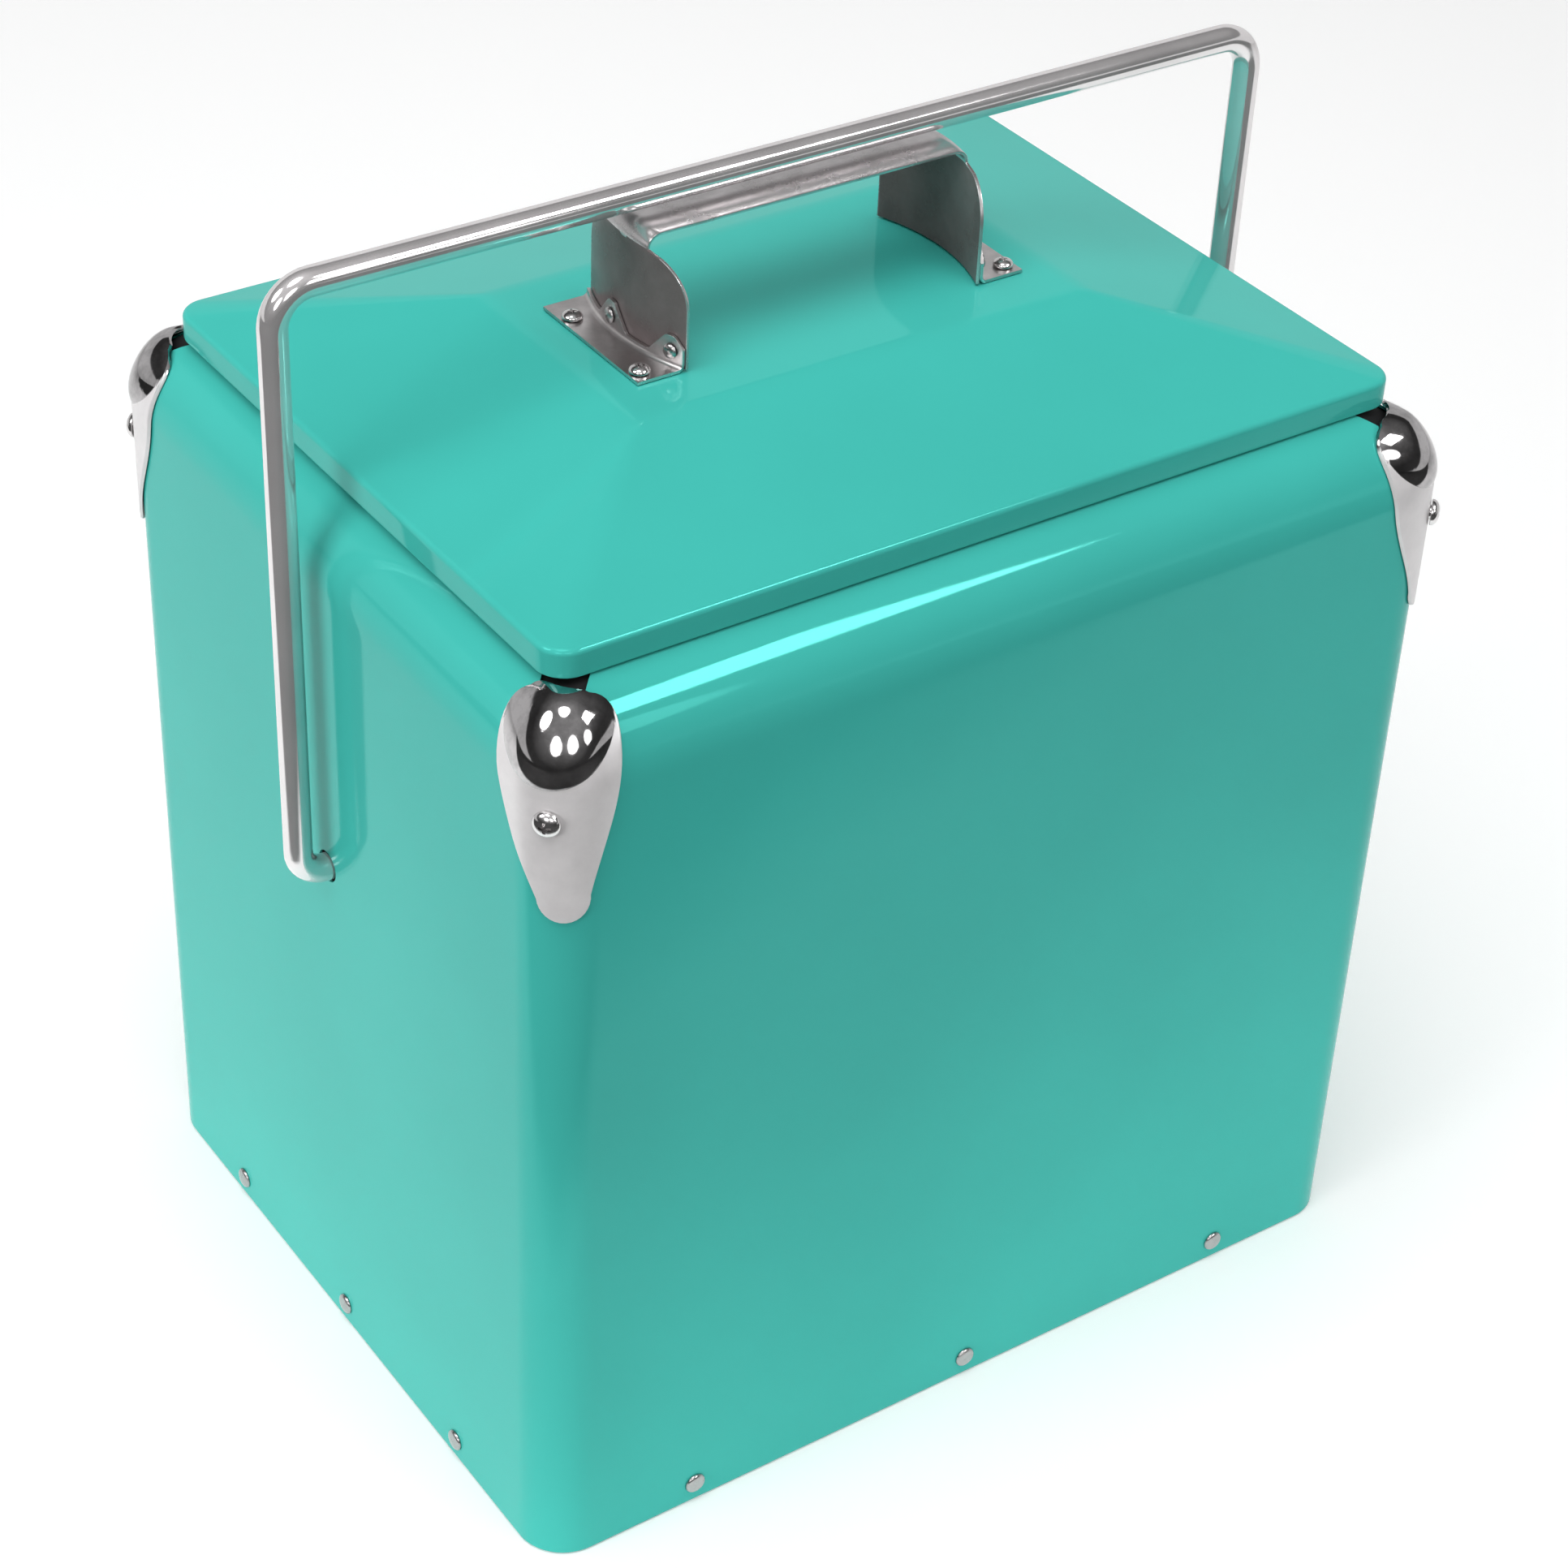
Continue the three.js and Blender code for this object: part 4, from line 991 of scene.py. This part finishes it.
def strap_handle():
    """Plated strap: two wide bowed legs with painted shade, their edges left bright as a painted highlight,
    and a narrow grip.
    """
    strap = sheet("carry_strap", strap_point, 120, 18, PLATED)
    soften_edges(strap, 0.3)
    smooth(strap, 45)
    # Painted shade marks the legs' faces; a thin margin along their edges keeps the bright plate as a
    # painted highlight.
    painted_highlight_edge = 0.5
    painted_shade_values = []
    for vertex in strap.data.vertices:
        place = vertex.co / MM
        on_leg = shoulder_climb(place.z) < 1
        inside = abs(place.y) < leg_half_width(place.z) - painted_highlight_edge
        painted_shade_values.append(1.0 if on_leg and inside else 0.0)
    attribute = strap.data.attributes.new("painted_shade_leg", "FLOAT", "POINT")
    attribute.data.foreach_set("value", painted_shade_values)
    return use(strap, "lid", ["strap_handle"], STRAP_PLATE)


def foot_point(side):
    """Middle surface of a foot: u down the ears and out along the flange, v front to back."""
    bend = 2
    flange_z = LID_HIGH.z + GAP + PLATED / 2
    outer_x = FOOT_HIGH.x
    ear_height = 7.4
    ear_top, middle_top = FOOT_HIGH.z, FOOT_HIGH.z - ear_height
    ear_half, tip_half = 8, 1.5

    def point(u, v):
        y = (2 * v - 1) * LEG_HALF
        face_x = leg_x(y) + PLATED + GAP
        from_ear = min(abs(y - middle) for middle in STRAP_RIVET_Y.values())
        share = (ear_half - from_ear) / (ear_half - tip_half)
        top = middle_top + (ear_top - middle_top) * max(0.0, min(share, 1.0))
        ear_share, bend_share = 0.35, 0.6
        if u <= ear_share:
            z = top + (flange_z + bend - top) * u / ear_share
            return Vector((side * face_x, y, z))
        turn = min((u - ear_share) / (bend_share - ear_share), 1) * math.pi / 2
        bend_x = face_x + bend * (1 - math.cos(turn))
        run = max((u - bend_share) / (1 - bend_share), 0)
        x = bend_x + (outer_x - bend_x) * run
        return Vector((side * x, y, flange_z + bend * (1 - math.sin(turn))))

    return point


def handle_feet():
    for name, side in (("left", -1), ("right", 1)):
        foot = sheet(f"strap_foot_{name}", foot_point(side), 40, 56, PLATED)
        soften_edges(foot, 0.25)
        smooth(foot, 45)
        use(foot, "lid", [f"handle_foot_{name}"], FOOT_NICKEL)


def strap_fixings():
    """Screws through each flange; rivets through each leg and its ears, flush inside."""
    rivet_profile = [(0.1, -0.45), (1.2, -0.45), (1.2, 2.1), (2.3, 2.1), (2.4, 2.25)]
    for step in range(1, 7):
        lean = step / 7 * math.pi / 2
        rivet_profile.append((2.4 * math.cos(lean), 2.3 + 1.0 * math.sin(lean)))
    rivet_profile.append((0.1, 3.3))
    seat = PLATED + 2 * GAP
    for name_x, side_x in (("left", -1), ("right", 1)):
        for end, extra_spin in (("front", -0.4), ("back", 0.4)):
            place = f"{name_x}_{end}"
            origin = Vector((side_x * FOOT_SCREW_X, FOOT_SCREW_Y[end], LID_HIGH.z))
            spin = 0.5 + 1.1 * side_x + extra_spin
            screw = cross_screw(f"foot_fixing_{place}", 3.2, 2.1, 1.8, 9, origin, UP, seat, spin)
            use(screw, "lid", [f"foot_screw_{place}"], SCREW_PLATE)
            y = STRAP_RIVET_Y[end]
            outward = Vector((side_x, y / LEG_BOW, 0)).normalized()
            on_leg = Vector((side_x * leg_x(y), y, STRAP_RIVET_Z))
            rivet = turned(f"ear_rivet_{place}", rivet_profile, on_leg, outward, 20)
            smooth(rivet, 40, weighted=False)
            use(rivet, "lid", [f"strap_rivet_{place}"], RIVET_NICKEL)


# ---- CAD pieces that keep their shape --------------------------------------------------------

def dress_hidden_pieces():
    for names, material in (
        (("body_insulation", "lid_insulation"), FOAM),
        (("pivot_sleeve_left", "pivot_sleeve_right"), BLACK_PLASTIC),
        (("bail_retainer_left", "bail_retainer_right"), ZINC),
    ):
        for name in names:
            node = frame["nodes"][name]
            node.data.materials.clear()
            node.data.materials.append(material)


# ---- Studio ----------------------------------------------------------------------------------

def floor():
    """Wide pale disc that the chest stands on."""
    radius = 6000
    ring = [
        Vector((radius * math.cos(k / 96 * 2 * math.pi), radius * math.sin(k / 96 * 2 * math.pi), 0))
        for k in range(96)
    ]
    ground = make_object("studio_ground", ring, [tuple(range(len(ring)))])
    ground.data.materials.append(pale_floor())


def world():
    """Pale to the camera; mirrored, a bright backdrop behind the chest in a dim studio."""
    scene_world = bpy.data.worlds.new("studio")
    bpy.context.scene.world = scene_world
    scene_world.use_nodes = True
    nodes = scene_world.node_tree.nodes
    links = scene_world.node_tree.links
    place = nodes.new("ShaderNodeTexCoord")
    height = nodes.new("ShaderNodeVectorMath")
    height.operation = "DOT_PRODUCT"
    yaw = math.radians(CAMERA["yaw"])
    height.inputs[1].default_value = (0.5 * math.sin(yaw), -0.5 * math.cos(yaw), 1)
    ramp = nodes.new("ShaderNodeValToRGB")
    stops = ((0.0, 0.7), (0.21, 0.7), (0.24, 0.05), (0.45, 0.05), (0.75, 0.18), (1.0, 0.45))
    while len(ramp.color_ramp.elements) < len(stops):
        ramp.color_ramp.elements.new(0.5)
    for element, (position, level) in zip(ramp.color_ramp.elements, stops):
        element.position = position
        element.color = (level, level, level, 1)
    seen = nodes.new("ShaderNodeLightPath").outputs["Is Camera Ray"]
    pale = nodes.new("ShaderNodeMath")
    pale.operation = "MAXIMUM"
    links.new(place.outputs["Generated"], height.inputs[0])
    links.new(height.outputs["Value"], ramp.inputs["Fac"])
    links.new(ramp.outputs["Color"], pale.inputs[0])
    links.new(seen, pale.inputs[1])
    background = nodes["Background"]
    links.new(pale.outputs["Value"], background.inputs["Color"])
    background.inputs["Strength"].default_value = 1.0


def area_light(name, place, aim, size, power, shape, mirrored):
    """A lamp aimed at a point; a mirrored one makes only highlights, any other only soft light."""
    light = bpy.data.lights.new(name, "AREA")
    light.shape = shape
    light.size, light.size_y = size
    light.energy = power
    lamp = bpy.data.objects.new(name, light)
    bpy.context.scene.collection.objects.link(lamp)
    lamp.location = place
    lamp.rotation_euler = (Vector(aim) - Vector(place)).to_track_quat("-Z", "Y").to_euler()
    lamp.visible_glossy = mirrored
    lamp.visible_diffuse = not mirrored


# Lamps that show as highlights, seen from the nearest top corner: azimuth, elevation, width,
# height, watts.
LAMPS = {
    "soft_box": (314, 45, 0.5, 0.42, 14),
    "round_high": (220, 76, 0.95, 0.95, 10),
    "round_left": (168, 44, 0.85, 0.85, 14),
    "round_low_left": (218, 27, 0.75, 0.75, 6.5),
    "round_low_front": (255, 29, 0.8, 0.8, 5),
    "round_low_right": (294, 27, 0.6, 0.6, 3.6),
}
LAMP_DISTANCE = 2.0

# Soft lights without highlights: place, aim, width and height, watts.
SOFT_LIGHTS = {
    "overhead": ((-0.5, -0.3, 2.6), (0, 0, 0.2), (2.5, 2.5), 60),
    "key_left": ((-2.2, -0.2, 0.6), (0, 0, 0.15), (1.2, 0.8), 22),
    "fill_front": ((0.3, -2.4, 0.7), (0, 0, 0.15), (1.2, 0.8), 13),
}


def lights():
    near_corner = Vector((SHELL_LOW.x, SHELL_LOW.y, SHELL_HIGH.z)) * MM
    for name, (azimuth, elevation, width, height, power) in LAMPS.items():
        around, up = math.radians(azimuth), math.radians(elevation)
        flat = math.cos(up)
        way = Vector((flat * math.cos(around), flat * math.sin(around), math.sin(up)))
        shape = "RECTANGLE" if name == "soft_box" else "ELLIPSE"
        place = near_corner + way * LAMP_DISTANCE
        area_light(name, place, near_corner, (width, height), power, shape, mirrored=True)
    for name, (place, aim, size, power) in SOFT_LIGHTS.items():
        area_light(name, place, aim, size, power, "RECTANGLE", mirrored=False)


def camera():
    yaw, pitch, roll = (math.radians(CAMERA[k]) for k in ("yaw", "pitch", "roll"))
    back = Vector((math.sin(yaw) * math.cos(pitch), -math.cos(yaw) * math.cos(pitch), math.sin(pitch)))
    data = bpy.data.cameras.new("photo_view")
    data.sensor_width = SENSOR_WIDTH
    data.lens = CAMERA["lens"]
    data.clip_start = 0.05
    data.clip_end = 50
    view = bpy.data.objects.new("photo_view", data)
    bpy.context.scene.collection.objects.link(view)
    view.location = (CAMERA_TARGET + back * CAMERA["distance"]) * MM
    view.rotation_mode = "QUATERNION"
    view.rotation_quaternion = (-back).to_track_quat("-Z", "Y") @ Quaternion((0, 0, 1), roll)
    bpy.context.scene.camera = view


# ---- Putting it together ---------------------------------------------------------------------

outer_shell()
bottom_pan()
liner_tub()
rim_collar()
base_rivets()
corner_caps()
cap_screws()
bail_handle()
lid_shell()
lid_pan()
lid_gasket()
strap_handle()
handle_feet()
strap_fixings()
dress_hidden_pieces()
floor()
world()
lights()
camera()
bpy.context.scene.view_settings.view_transform = "Standard"
